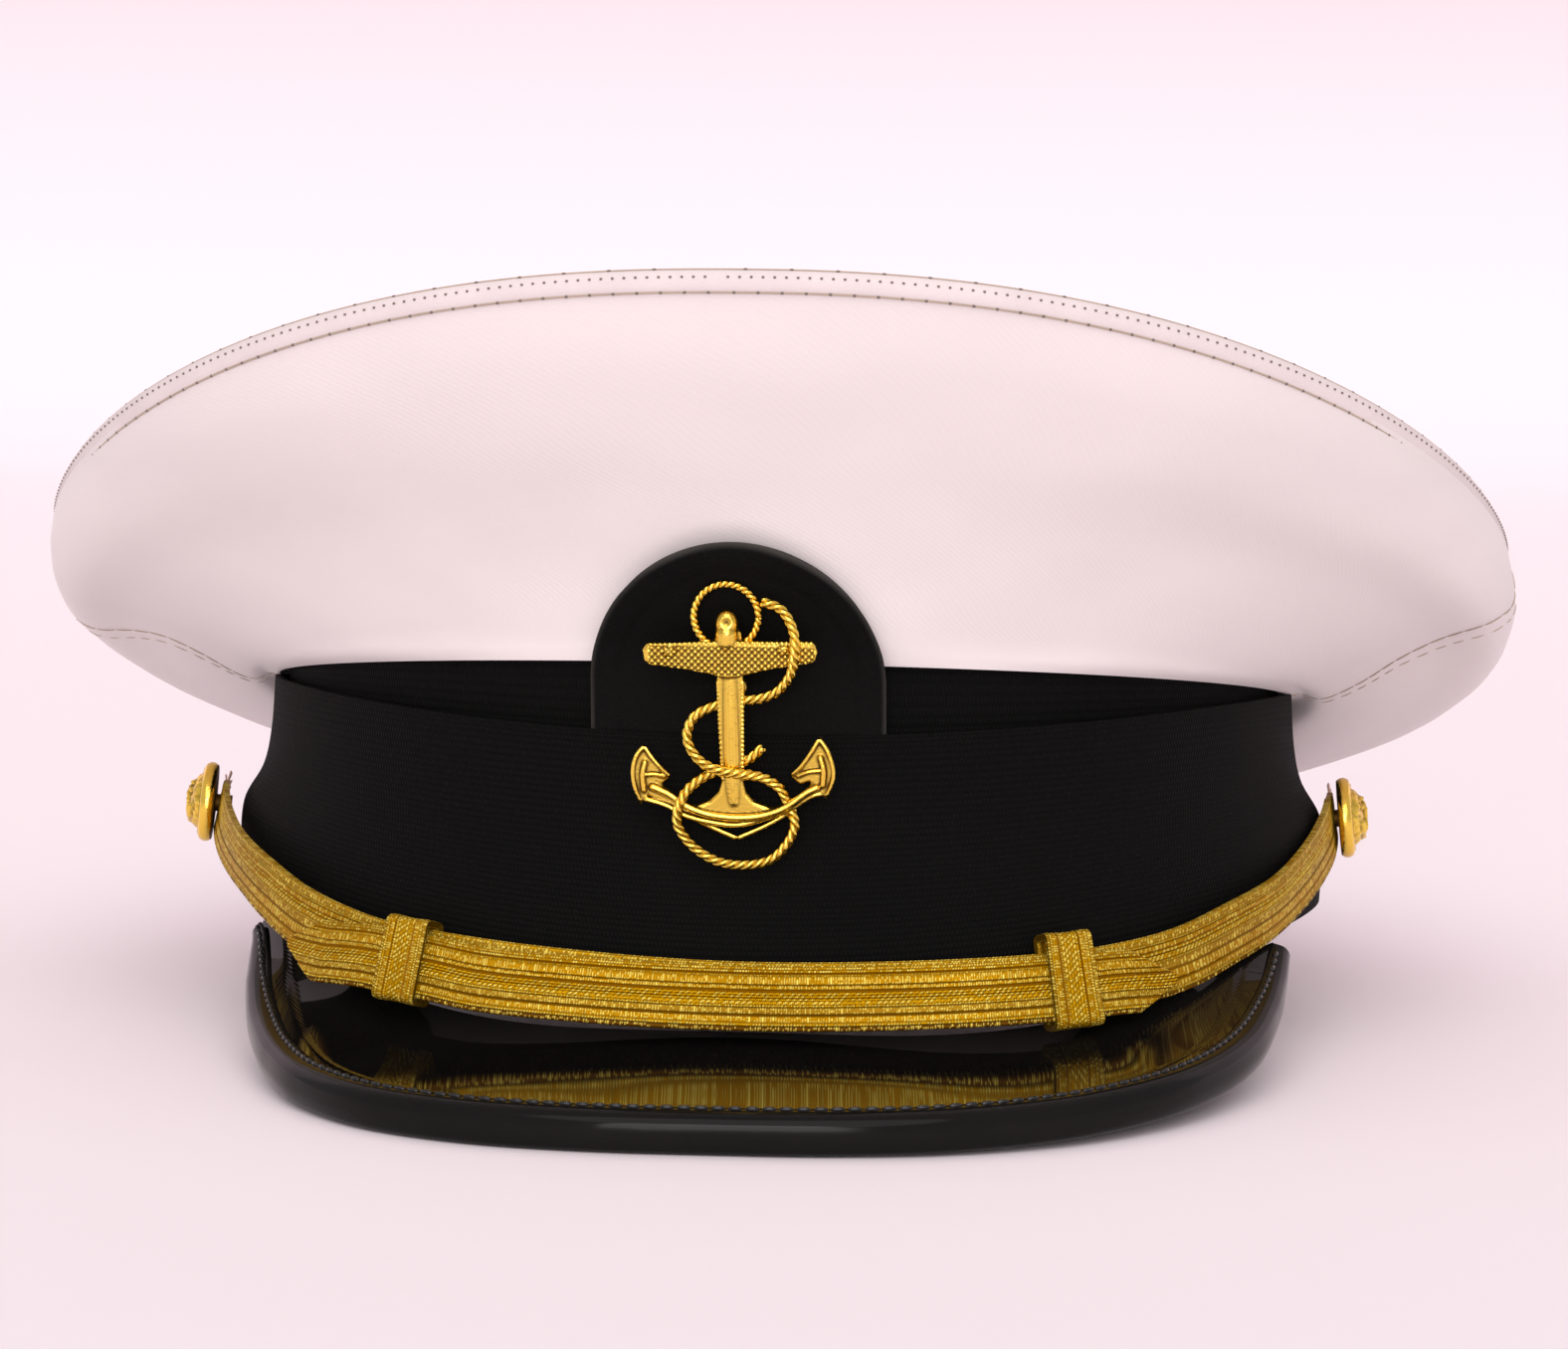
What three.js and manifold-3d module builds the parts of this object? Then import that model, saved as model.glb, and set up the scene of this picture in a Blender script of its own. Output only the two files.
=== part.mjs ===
// Peaked combination cap: white crown cover, black elastic band, gilt anchor badge, lace chin strap
// held by two buttons, and a patent peak with a rolled binding.
// Millimetres, +Z up. The front faces -Y and +X is the wearer's left; the pieces' names say left and
// right as seen from the front, so left is -X. The origin is on the ground under the middle of the
// cap. The cap rests on the rear of its band and on the front of its peak.

import * as THREE from 'three';
import { mergeVertices } from 'three/addons/utils/BufferGeometryUtils.js';
import Module from 'manifold-3d';

const wasm = await Module();
wasm.setup();

// ---- Driving dimensions -------------------------------------------------------------------------

const GAP = 0.3; // clearance that neighbouring pieces keep
const CLOTH_WALL = 1.2; // crown cover
const BAND_WALL = 1.5; // both bands
const TAB_THICKNESS = 1.7;
const WELT_RADIUS = 1.6;
const TOP_DOME = 3; // how far the crown's middle stands above a straight-sided top
const RING_STEPS = 48; // facets round a whole ring

// The rings of the cap, each a row from the front (-Y) by the side to the rear (+Y): half_width,
// front and rear are distances from the axis, z_front, z_side and z_rear the heights there, and
// lean is how much higher the -X side stands than the middle of the ring.
const OUTER_BAND_ROWS = [
  { half_width: 99.8, front: 103, rear: 99.5, z_front: 12.6, z_side: 22, z_rear: -1.5, square: 2, lean: 0 },
  { half_width: 100.2, front: 101.2, rear: 98.6, z_front: 24, z_side: 30, z_rear: 8, square: 2, lean: 0 },
  { half_width: 99.6, front: 99.8, rear: 98, z_front: 33, z_side: 37.5, z_rear: 16, square: 2, lean: 0 },
  { half_width: 96, front: 98.6, rear: 97.5, z_front: 42, z_side: 44, z_rear: 25, square: 2, lean: 0 },
  { half_width: 94.5, front: 97.6, rear: 97.2, z_front: 52, z_side: 51, z_rear: 33, square: 2, lean: 0 },
  { half_width: 93.6, front: 97.2, rear: 97, z_front: 61, z_side: 57.5, z_rear: 41, square: 2, lean: 0 },
];
const INNER_BAND_ROWS = [
  { half_width: 97.9, front: 100.7, rear: 97.4, z_front: 14.1, z_side: 23.5, z_rear: 1.5, square: 2, lean: 0 },
  { half_width: 98, front: 98.9, rear: 96.5, z_front: 24, z_side: 30, z_rear: 8, square: 2, lean: 0 },
  { half_width: 96.6, front: 97, rear: 95.9, z_front: 33, z_side: 37.5, z_rear: 16, square: 2, lean: 0 },
  { half_width: 93.6, front: 95, rear: 95.4, z_front: 42, z_side: 44, z_rear: 25, square: 2, lean: 0 },
  { half_width: 92.2, front: 93.5, rear: 95.1, z_front: 52, z_side: 51, z_rear: 33, square: 2, lean: 0 },
  { half_width: 91.4, front: 92.9, rear: 94.9, z_front: 61, z_side: 57.5, z_rear: 41, square: 2, lean: 0 },
  { half_width: 91.1, front: 92.8, rear: 94.7, z_front: 78, z_side: 64, z_rear: 48, square: 2, lean: 0 },
];
// The crown's side panels, from the hem that grips the inner band out to the rim.
const QUARTER_ROWS = [
  { half_width: 93, front: 94.6, rear: 96.5, z_front: 72.8, z_side: 59.4, z_rear: 44.5, square: 2, lean: 0 },
  { half_width: 96.2, front: 95.6, rear: 99.6, z_front: 74.8, z_side: 59.9, z_rear: 44, square: 2, lean: 0 },
  { half_width: 100, front: 97.8, rear: 102.8, z_front: 79, z_side: 58.8, z_rear: 29, square: 2, lean: 0 },
  { half_width: 108, front: 102.4, rear: 109.5, z_front: 87.6, z_side: 61, z_rear: 21, square: 2.05, lean: 0 },
  { half_width: 120, front: 109, rear: 119, z_front: 98.5, z_side: 64.8, z_rear: 17.5, square: 2.1, lean: 0 },
  { half_width: 130.3, front: 117, rear: 129.5, z_front: 111.5, z_side: 66.6, z_rear: 21, square: 2.2, lean: 0 },
  { half_width: 133.6, front: 124.5, rear: 135.8, z_front: 123.8, z_side: 72.5, z_rear: 33, square: 2.25, lean: -1 },
  { half_width: 132.4, front: 130.3, rear: 137, z_front: 134.6, z_side: 79.7, z_rear: 51, square: 2.3, lean: -2 },
];
const WELT_ROW = {
  half_width: 131, front: 130.9, rear: 136.2, z_front: 137.2, z_side: 82, z_rear: 53.7, square: 2.3, lean: -2,
};
const TOP_ROW = {
  half_width: 128.7, front: 128.7, rear: 134, z_front: 137.6, z_side: 83, z_rear: 54.6, square: 2.3, lean: -2,
};
const SIDE_SEAMS = { left: -94, right: 84 }; // degrees from the front to the seams between the panels
const SEAM_GAP = 0.12; // degrees from a side seam's middle to each panel's edge

// The badge tab stands up from behind the outer band and leans forward with the crown. Each row is a
// level of its inner face: its depth from the axis in the middle, the tab's half width, and the
// radius that it curves to.
const TAB_ROWS = [
  { z: 50, depth: 94.05, half_width: 24, curve: 91 },
  { z: 61, depth: 93.45, half_width: 24, curve: 91 },
  { z: 69, depth: 94.6, half_width: 24, curve: 95 },
  { z: 76, depth: 96.9, half_width: 24, curve: 100 },
  { z: 82, depth: 100.1, half_width: 21.6, curve: 106 },
  { z: 87, depth: 103, half_width: 17.3, curve: 108 },
  { z: 91, depth: 105.2, half_width: 11.5, curve: 108 },
  { z: 93.4, depth: 106.6, half_width: 5.5, curve: 108 },
  { z: 94, depth: 106.9, half_width: 2, curve: 108 },
];

// The peak: its inner edge is an arc under the band and its outer edge runs through these points,
// from the corner to the middle. They give the middle of the peak's edge inside its binding, arc is
// the angle of the inner edge that lies straight behind, and size scales the binding.
const VISOR_THICKNESS = 2.2;
const VISOR_ARC_RADIUS = 100.5;
const VISOR_HOLLOW = 1.2; // how far the peak's middle lies under straight lines from edge to edge
const VISOR_DROP = 0.8; // from the band's lower edge to the top of the peak under it
const VISOR_SAG = 3; // how much further the peak drops between its front and each corner
const VISOR_OFFSET = 1; // how far the peak sits towards the wearer's left
const VISOR_STEPS = 36;
const VISOR_EDGE_ROWS = [
  { x: -90.4, y: -48, z: 17.2, arc: -62.4, size: 0.7 },
  { x: -89.4, y: -58, z: 14.2, arc: -56, size: 0.8 },
  { x: -87.6, y: -70, z: 11.3, arc: -49, size: 0.9 },
  { x: -84, y: -85.5, z: 8.4, arc: -40, size: 1 },
  { x: -78.2, y: -103, z: 6.4, arc: -31, size: 1 },
  { x: -70, y: -119.6, z: 5.4, arc: -23.5, size: 1 },
  { x: -57, y: -134.3, z: 5, arc: -17, size: 1 },
  { x: -39.5, y: -143.7, z: 4.95, arc: -11, size: 1 },
  { x: -20, y: -147.5, z: 4.94, arc: -5.5, size: 1 },
  { x: 0, y: -147.75, z: 4.95, arc: 0, size: 1 },
  { x: 19.5, y: -146.8, z: 5.1, arc: 5.5, size: 1 },
  { x: 38.5, y: -142.4, z: 5.4, arc: 11, size: 1 },
  { x: 56.5, y: -132.5, z: 6, arc: 17, size: 1 },
  { x: 70.5, y: -118.5, z: 6.9, arc: 23.5, size: 1 },
  { x: 80, y: -102.5, z: 8, arc: 31, size: 1 },
  { x: 86.2, y: -86, z: 9.8, arc: 40, size: 1 },
  { x: 89.4, y: -70, z: 12.6, arc: 49, size: 0.9 },
  { x: 90.8, y: -58, z: 15.2, arc: 56, size: 0.8 },
  { x: 91.5, y: -48, z: 18.4, arc: 62.4, size: 0.7 },
];
const TRIM_ABOVE = 2; // the binding over the middle of the peak's edge, and under it
const TRIM_BELOW = 5;
const TRIM_LAP = 4.2; // how far it laps back over the peak
const TRIM_NOSE = 1.2; // how far it stands out past the peak's edge
const TRIM_GROOVE = VISOR_THICKNESS / 2 + GAP + 0.2; // from the groove's middle to each of its walls

// The chin strap's path, by the angle from the front: radius and z place the middle of its inner
// face, and tilt (degrees) turns its lower edge outwards.
const LACE_THICKNESS = 1.2;
const LACE_HALF_WIDTH = 5.6;
const STRAP_ROWS = [
  { angle: -94, radius: 102.4, z: 39.2, tilt: 14 },
  { angle: -82, radius: 102.3, z: 37, tilt: 12 },
  { angle: -76, radius: 102.2, z: 35.4, tilt: 8 },
  { angle: -68, radius: 102.4, z: 33, tilt: 2 },
  { angle: -61, radius: 103, z: 30.8, tilt: -2 },
  { angle: -54, radius: 103.5, z: 28, tilt: 2 },
  { angle: -48, radius: 104, z: 25.2, tilt: 6 },
  { angle: -40, radius: 104.8, z: 22.7, tilt: 12 },
  { angle: -34, radius: 105, z: 21.2, tilt: 14 },
  { angle: -20, radius: 105.3, z: 20, tilt: 15 },
  { angle: 0, radius: 105.3, z: 18.8, tilt: 15 },
  { angle: 20, radius: 105.3, z: 18.9, tilt: 15 },
  { angle: 31, radius: 105.2, z: 19.2, tilt: 15 },
  { angle: 38, radius: 105, z: 19.9, tilt: 14 },
  { angle: 46, radius: 104.4, z: 21.6, tilt: 8 },
  { angle: 54, radius: 103.6, z: 24.6, tilt: 2 },
  { angle: 62, radius: 103, z: 27.3, tilt: -2 },
  { angle: 70, radius: 102.4, z: 30.7, tilt: 0 },
  { angle: 78, radius: 102.2, z: 34.2, tilt: 4 },
  { angle: 88, radius: 102.2, z: 37.4, tilt: 8 },
  { angle: 96, radius: 102.4, z: 39.5, tilt: 8 },
];
const STRAP_SHIFT = -1; // how far the strap has slipped towards the wearer's right
const STRAP_ENDS = { left: -86, right: 92 };
const STRAP_FRONT_ENDS = { left: -48, right: 44 };
const STRAP_FRONT_UPPER = -4.8; // edges of the front layer, which lies a little low
const STRAP_FRONT_LOWER = 6.2;
const STRAP_FRONT_SLIP = [ // how far the front layer has slipped down at each angle
  { angle: -48, slip: 4 },
  { angle: -41, slip: 2.4 },
  { angle: -37, slip: 0.9 },
  { angle: -33.5, slip: 0.25 },
  { angle: -28, slip: 0.25 },
  { angle: -23, slip: 0.7 },
  { angle: -13, slip: 0.4 },
  { angle: 0, slip: 0 },
  { angle: 28, slip: 0 },
  { angle: 34, slip: 0.1 },
  { angle: 38, slip: 0.5 },
  { angle: 44, slip: 1.8 },
];
const STRAP_POINT_LENGTH = 5; // degrees over which an end runs to its point
const STRAP_POINT_WIDTH = 0.12; // share of the width that is left at the point

// The keepers: bands of lace round both layers. Upper and lower are their outer edges.
const SLIDER_ANGLE = 31;
const SLIDER_HALF_LENGTH = 4.4;
const SLIDER_WALL = 1;
const SLIDER_UPPER = { left: -7.1, right: -8.8 };
const SLIDER_LOWER = 7.8;

const BUTTON_RADIUS = 7.25;
const BUTTON_SHANK_RADIUS = 1.6;
const BUTTON_ANGLES = { left: -82, right: 88 };
const BUTTON_TILT = 6; // degrees that the button's face looks up
// From the shank's end to the top of the dome: radius and height above the strap's outer face.
const BUTTON_PROFILE = [
  { radius: 0, height: -2.3 },
  { radius: BUTTON_SHANK_RADIUS, height: -2.3 },
  { radius: BUTTON_SHANK_RADIUS, height: 0.8 },
  { radius: BUTTON_RADIUS - 0.9, height: 0.9 },
  { radius: BUTTON_RADIUS, height: 1.2 },
  { radius: BUTTON_RADIUS, height: 1.9 },
  { radius: BUTTON_RADIUS - 0.8, height: 2.3 },
  { radius: BUTTON_RADIUS - 1.6, height: 3.5 },
  { radius: BUTTON_RADIUS - 3.4, height: 4.9 },
  { radius: 2, height: 5.6 },
  { radius: 0, height: 5.8 },
];

// The badge is modelled flat: x to the side, y up, and heights above its back. It stands 2.5 degrees
// off upright, as its rows do.
const BADGE_BASE = { y: -100, z: 39.4 }; // back of the badge at its lowest point
const BADGE_LEAN = 6.5; // degrees that its top leans forward
const BADGE_LOW = -23.9; // lowest point of the anchor below its own origin
const STOCK = { thickness: 2.8, bevel: 0.7 };
const ARMS = { thickness: 2, bevel: 0.5 };
const SHANK = { half_width: 2.1, shoulder: 1.5, ridge: 2.9, x: 0.2, bottom: -14.5, length: 24 };
const RING = { radius: 5.1, wire: 0.6, x: -0.8, y: 18.4, height: 1.5 };
const KNOB = { radius: 2, length: 3.4, x: -0.6, y: 15.6, height: 1.4 };
const POST = { radius: 1.5, length: 7.2, y: 6, height: -2.6 }; // behind the shank, towards the tab
const ROPE_RADIUS = 0.95;

const STOCK_OUTLINE = [
  { x: -14.5, y: 13.6 }, { x: -14.5, y: 10.5 }, { x: -5, y: 10.3 }, { x: -2.6, y: 8.2 }, { x: 0, y: 7.6 },
  { x: 2.4, y: 8.2 }, { x: 4.6, y: 10.3 }, { x: 13.9, y: 10.9 }, { x: 13.9, y: 14 }, { x: 3, y: 14 },
  { x: -3, y: 13.8 },
];
const ARMS_OUTLINE = [
  { x: 0.6, y: -18.7 }, { x: -5.5, y: -16.4 }, { x: -10.5, y: -14.9 }, { x: -14, y: -13.5 },
  { x: -16.4, y: -7.7 }, { x: -14.5, y: -3.4 }, { x: -12.6, y: -6.8 }, { x: -9.7, y: -8.5 },
  { x: -10.6, y: -10.6 }, { x: -6.5, y: -11.8 }, { x: -1.8, y: -12.6 }, { x: 2.6, y: -12.6 },
  { x: 6.8, y: -11.4 }, { x: 10.3, y: -9.9 }, { x: 9.4, y: -7.9 }, { x: 12.2, y: -5.6 },
  { x: 14.1, y: -1.6 }, { x: 17, y: -6.6 }, { x: 15.5, y: -12 }, { x: 11.5, y: -14 }, { x: 6.5, y: -16 },
];
// The rope from the ring round the anchor: height is its middle above the badge's back.
const ROPE_ROWS = [
  { x: 4.5, y: 19.3, height: 1.6 }, { x: 7.7, y: 19, height: 1.8 }, { x: 9.8, y: 16.1, height: 2.6 },
  { x: 10, y: 12.2, height: 3 }, { x: 9.7, y: 8.7, height: 2.4 }, { x: 7.7, y: 5.8, height: 1.6 },
  { x: 4.9, y: 4.4, height: 1.2 }, { x: 2.4, y: 4.1, height: 1 }, { x: -2.6, y: 3, height: 1 },
  { x: -5.8, y: 1.6, height: 1.4 }, { x: -7, y: -0.9, height: 1.6 }, { x: -6.7, y: -3.4, height: 1.8 },
  { x: -5.1, y: -5.2, height: 2.4 }, { x: -2.2, y: -6.4, height: 3.1 }, { x: 0.6, y: -7.1, height: 3.5 },
  { x: 3, y: -7.3, height: 3.1 }, { x: 5.2, y: -7.5, height: 2.4 }, { x: 7.7, y: -9.5, height: 1.6 },
  { x: 8.8, y: -10.8, height: 1.1 }, { x: 9.8, y: -14.1, height: 1.2 }, { x: 9.8, y: -16.9, height: 1.6 },
  { x: 8, y: -20.8, height: 1.7 }, { x: 4.5, y: -22.6, height: 1.7 }, { x: 0.6, y: -22.9, height: 1.7 },
  { x: -3.6, y: -22, height: 1.7 }, { x: -6.9, y: -19.8, height: 1.8 }, { x: -8.3, y: -16.6, height: 2.6 },
  { x: -8.4, y: -14.4, height: 3 }, { x: -8.3, y: -13, height: 2.9 }, { x: -6.9, y: -10.5, height: 2 },
  { x: -4.4, y: -8.4, height: 1.3 }, { x: -2.3, y: -7.5, height: 1.1 }, { x: 2.8, y: -5.7, height: 1.1 },
  { x: 5.4, y: -3.4, height: 1.3 },
];

// ---- Materials ----------------------------------------------------------------------------------

const whiteCloth = new THREE.MeshStandardMaterial({ color: 0xf3eae6, roughness: 0.62, metalness: 0 });
const blackRibbing = new THREE.MeshStandardMaterial({ color: 0x141513, roughness: 0.85, metalness: 0 });
const blackTab = new THREE.MeshStandardMaterial({ color: 0x1b1b1a, roughness: 0.75, metalness: 0 });
const goldLace = new THREE.MeshStandardMaterial({ color: 0xb5862c, roughness: 0.45, metalness: 0.7 });
const giltBrass = new THREE.MeshStandardMaterial({ color: 0xc89a3a, roughness: 0.28, metalness: 1 });
const patentBlack = new THREE.MeshStandardMaterial({ color: 0x0a0a0a, roughness: 0.08, metalness: 0 });

// ---- Curves and rings ---------------------------------------------------------------------------

const radians = THREE.MathUtils.degToRad;

// Value on a smooth curve through the rows' column, at a place counted in rows.
function columnAt(rows, column, place) {
  const last = rows.length - 1;
  const start = Math.min(Math.floor(place), last - 1);
  const value = (index) => rows[Math.min(Math.max(index, 0), last)][column];
  const t = place - start;
  const slopeIn = (value(start + 1) - value(start - 1)) / 2;
  const slopeOut = (value(start + 2) - value(start)) / 2;
  const rise = value(start + 1) - value(start);
  const cubic = slopeIn + slopeOut - 2 * rise;
  const square = 3 * rise - 2 * slopeIn - slopeOut;
  return value(start) + t * (slopeIn + t * (square + t * cubic));
}

// Rows smoothly inserted between the given ones, `steps` for each interval.
function refineRows(rows, steps) {
  const count = (rows.length - 1) * steps;
  const columns = Object.keys(rows[0]);
  return Array.from({ length: count + 1 }, (unused, index) =>
    Object.fromEntries(columns.map((column) => [column, columnAt(rows, column, index / steps)])));
}

// Row of a table whose first column is an angle, at any angle.
function rowAtAngle(rows, angle) {
  let index = 0;
  while (index < rows.length - 2 && rows[index + 1].angle < angle) {
    index += 1;
  }
  const place = index + (angle - rows[index].angle) / (rows[index + 1].angle - rows[index].angle);
  return Object.fromEntries(
    Object.keys(rows[0]).map((column) => [column, columnAt(rows, column, place)]));
}

// Height of a ring at an angle from the front, and never below the ground.
function ringHeight(row, angle) {
  const sway = (row.z_front - row.z_rear) / 2;
  const mean = (row.z_front + row.z_rear) / 2;
  const level = (mean + row.z_side) / 2;
  const saddle = (mean - row.z_side) / 2;
  const height = level + sway * Math.cos(angle) + saddle * Math.cos(2 * angle) - row.lean * Math.sin(angle);
  return Math.max(height, 0);
}

// Point of a ring. Its plan is an ellipse at square 2 and grows squarer above that.
function ringPoint(row, angle) {
  const depth = Math.cos(angle) > 0 ? row.front : row.rear;
  const along = (value) => Math.sign(value) * Math.abs(value) ** (2 / row.square);
  return new THREE.Vector3(
    row.half_width * along(Math.sin(angle)), -depth * along(Math.cos(angle)), ringHeight(row, angle));
}

// The outline of a thin wall: the outer points, then the same points moved in by the wall. `inward`
// is the horizontal direction from the outer face to the inner face. Nothing goes below the ground.
function wallLoop(outer, inward, wall) {
  const inner = outer.map((point, index) => {
    const before = outer[Math.max(index - 1, 0)];
    const after = outer[Math.min(index + 1, outer.length - 1)];
    const run = after.clone().sub(before);
    const across = run.dot(inward);
    const normal = inward.clone().multiplyScalar(run.z).add(new THREE.Vector3(0, 0, -across));
    const moved = point.clone().addScaledVector(normal.normalize(), wall);
    moved.z = Math.max(moved.z, 0);
    return moved;
  });
  return [...outer, ...inner.reverse()];
}

// ---- Solids -------------------------------------------------------------------------------------

function meshGeometry(points, triangles) {
  const geometry = new THREE.BufferGeometry();
  geometry.setAttribute('position', new THREE.Float32BufferAttribute(points.flatMap((p) => p.toArray()), 3));
  geometry.setIndex(triangles.flat());
  geometry.computeVertexNormals();
  return geometry;
}

// A solid through sections that are all loops of the same even number of points, in which point i
// lies across the wall from point (count - 1 - i). A closed row of sections makes a ring, and an
// open one is capped at both ends.
function sectionSolid(sections, closed) {
  const count = sections[0].length;
  const corner = (section, point) => (section % sections.length) * count + (point % count);
  const triangles = [];
  const spans = closed ? sections.length : sections.length - 1;
  for (let section = 0; section < spans; section += 1) {
    for (let point = 0; point < count; point += 1) {
      const here = corner(section, point);
      const along = corner(section + 1, point);
      const round = corner(section, point + 1);
      const both = corner(section + 1, point + 1);
      triangles.push([here, along, both], [here, both, round]);
    }
  }
  if (!closed) {
    const last = sections.length - 1;
    for (let point = 0; point < count / 2 - 1; point += 1) {
      const across = count - 1 - point;
      for (const [section, turn] of [[0, 1], [last, -1]]) {
        const quad = [corner(section, point), corner(section, point + 1),
          corner(section, across - 1), corner(section, across)];
        const [a, b, c, d] = turn > 0 ? quad : [...quad].reverse();
        triangles.push([a, b, c], [a, c, d]);
      }
    }
  }
  return facingOut(meshGeometry(sections.flat(), triangles));
}

// The same geometry with its faces turned so that the enclosed volume is positive.
function facingOut(geometry) {
  const position = geometry.attributes.position;
  const index = geometry.index.array;
  const corners = [new THREE.Vector3(), new THREE.Vector3(), new THREE.Vector3()];
  let volume = 0;
  for (let start = 0; start < index.length; start += 3) {
    corners.forEach((point, offset) => point.fromBufferAttribute(position, index[start + offset]));
    volume += corners[0].dot(corners[1].clone().cross(corners[2]));
  }
  if (volume < 0) {
    for (let start = 0; start < index.length; start += 3) {
      [index[start + 1], index[start + 2]] = [index[start + 2], index[start + 1]];
    }
    geometry.computeVertexNormals();
  }
  return geometry;
}

// The same geometry with one vertex wherever several met.
function weld(geometry) {
  const bare = geometry.clone();
  bare.deleteAttribute('normal');
  bare.deleteAttribute('uv');
  const merged = mergeVertices(bare, 1e-4);
  merged.computeVertexNormals();
  return merged;
}

function toManifold(geometry) {
  const merged = weld(geometry);
  return new wasm.Manifold(new wasm.Mesh({
    numProp: 3,
    vertProperties: new Float32Array(merged.attributes.position.array),
    triVerts: new Uint32Array(merged.index.array),
  }));
}

function fromManifold(solid) {
  const mesh = solid.getMesh();
  const geometry = new THREE.BufferGeometry();
  geometry.setAttribute('position', new THREE.BufferAttribute(mesh.vertProperties, 3));
  geometry.setIndex(new THREE.BufferAttribute(mesh.triVerts, 1));
  geometry.computeVertexNormals();
  return geometry;
}

function join(geometries) {
  return fromManifold(geometries.map(toManifold).reduce((whole, piece) => whole.add(piece)));
}

function cut(geometry, tool) {
  return fromManifold(toManifold(geometry).subtract(toManifold(tool)));
}

// A ring-shaped wall through the rows, over a range of angles from the front or all the way round.
function ringWall(rows, wall, angles, closed) {
  const sections = angles.map((angle) => {
    const inward = new THREE.Vector3(-Math.sin(angle), Math.cos(angle), 0);
    return wallLoop(rows.map((row) => ringPoint(row, angle)), inward, wall);
  });
  return sectionSolid(sections, closed);
}

function anglesRound(steps) {
  return Array.from({ length: steps }, (unused, index) => (2 * Math.PI * index) / steps);
}

function anglesBetween(start, end, steps) {
  return Array.from({ length: steps + 1 }, (unused, index) =>
    radians(start + ((end - start) * index) / steps));
}

// ---- Crown cover --------------------------------------------------------------------------------

// Upper face of the crown's top: share runs from 0 in the middle to 1 at the welt.
function topPoint(share, angle) {
  const rim = ringPoint(TOP_ROW, angle);
  const sway = ((TOP_ROW.z_front - TOP_ROW.z_rear) / 2) * Math.cos(angle) - TOP_ROW.lean * Math.sin(angle);
  const level = ((TOP_ROW.z_front + TOP_ROW.z_rear) / 2 + TOP_ROW.z_side) / 2;
  const saddle = rim.z - sway - level;
  return new THREE.Vector3(rim.x * share, rim.y * share,
    level + sway * share + saddle * share ** 2 + TOP_DOME * (1 - share ** 2));
}

function crownTop() {
  const shares = [1, 0.985, 0.93, 0.8, 0.6, 0.35];
  const angles = anglesRound(RING_STEPS);
  const down = new THREE.Vector3(0, 0, -CLOTH_WALL);
  const points = angles.flatMap((angle) => {
    const upper = shares.map((share) => topPoint(share, angle));
    return [...upper.map((point) => point.clone().add(down)).reverse(), ...upper];
  });
  const count = shares.length * 2;
  const corner = (step, point) => (step % angles.length) * count + point;
  const triangles = [];
  const underside = points.push(topPoint(0, 0).add(down)) - 1;
  const summit = points.push(topPoint(0, 0)) - 1;
  for (let step = 0; step < angles.length; step += 1) {
    triangles.push([underside, corner(step + 1, 0), corner(step, 0)]);
    triangles.push([summit, corner(step, count - 1), corner(step + 1, count - 1)]);
    for (let point = 0; point < count - 1; point += 1) {
      triangles.push([corner(step, point), corner(step + 1, point), corner(step + 1, point + 1)]);
      triangles.push([corner(step, point), corner(step + 1, point + 1), corner(step, point + 1)]);
    }
  }
  return facingOut(meshGeometry(points, triangles));
}

function rimWelt() {
  const sides = 6;
  const sections = anglesRound(RING_STEPS).map((angle) => {
    const middle = ringPoint(WELT_ROW, angle);
    const outward = new THREE.Vector3(Math.sin(angle), -Math.cos(angle), 0);
    return Array.from({ length: sides }, (unused, side) => {
      const turn = (2 * Math.PI * (side + 0.5)) / sides;
      return middle.clone()
        .addScaledVector(outward, WELT_RADIUS * Math.cos(turn))
        .add(new THREE.Vector3(0, 0, WELT_RADIUS * Math.sin(turn)));
    });
  });
  return sectionSolid(sections, true);
}

function quarter(start, end) {
  return ringWall(refineRows(QUARTER_ROWS, 2), CLOTH_WALL, anglesBetween(start, end, RING_STEPS / 2), false);
}

// ---- Bands and badge tab ------------------------------------------------------------------------

function badgeTab() {
  const steps = 12;
  const sections = TAB_ROWS.map((row) => {
    const inner = Array.from({ length: steps + 1 }, (unused, index) => {
      const x = row.half_width * (1 - (2 * index) / steps);
      return new THREE.Vector3(x, -row.depth + x ** 2 / (2 * row.curve), row.z);
    });
    const outward = new THREE.Vector3(0, -TAB_THICKNESS, 0);
    return [...inner, ...inner.map((point) => point.clone().add(outward)).reverse()];
  });
  return sectionSolid(sections, false);
}

// ---- Chin strap ---------------------------------------------------------------------------------

// Place of the strap at an angle from the front: the middle of its inner face, the direction across
// it towards its lower edge, and its outward normal.
function strapFrame(degrees) {
  const place = (at) => {
    const values = rowAtAngle(STRAP_ROWS, at);
    return new THREE.Vector3(values.radius * Math.sin(radians(at)) + STRAP_SHIFT,
      -values.radius * Math.cos(radians(at)), values.z);
  };
  const row = rowAtAngle(STRAP_ROWS, degrees);
  const angle = radians(degrees);
  const middle = place(degrees);
  const along = place(degrees + 0.5).sub(middle).normalize();
  const outward = new THREE.Vector3(Math.sin(angle), -Math.cos(angle), 0);
  const tilt = radians(row.tilt);
  const across = outward.clone().multiplyScalar(Math.sin(tilt)).add(new THREE.Vector3(0, 0, -Math.cos(tilt)));
  across.addScaledVector(along, -across.dot(along)).normalize();
  const normal = along.clone().cross(across).normalize();
  if (normal.dot(outward) < 0) {
    normal.negate();
  }
  return { middle, across, normal, along };
}

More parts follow.
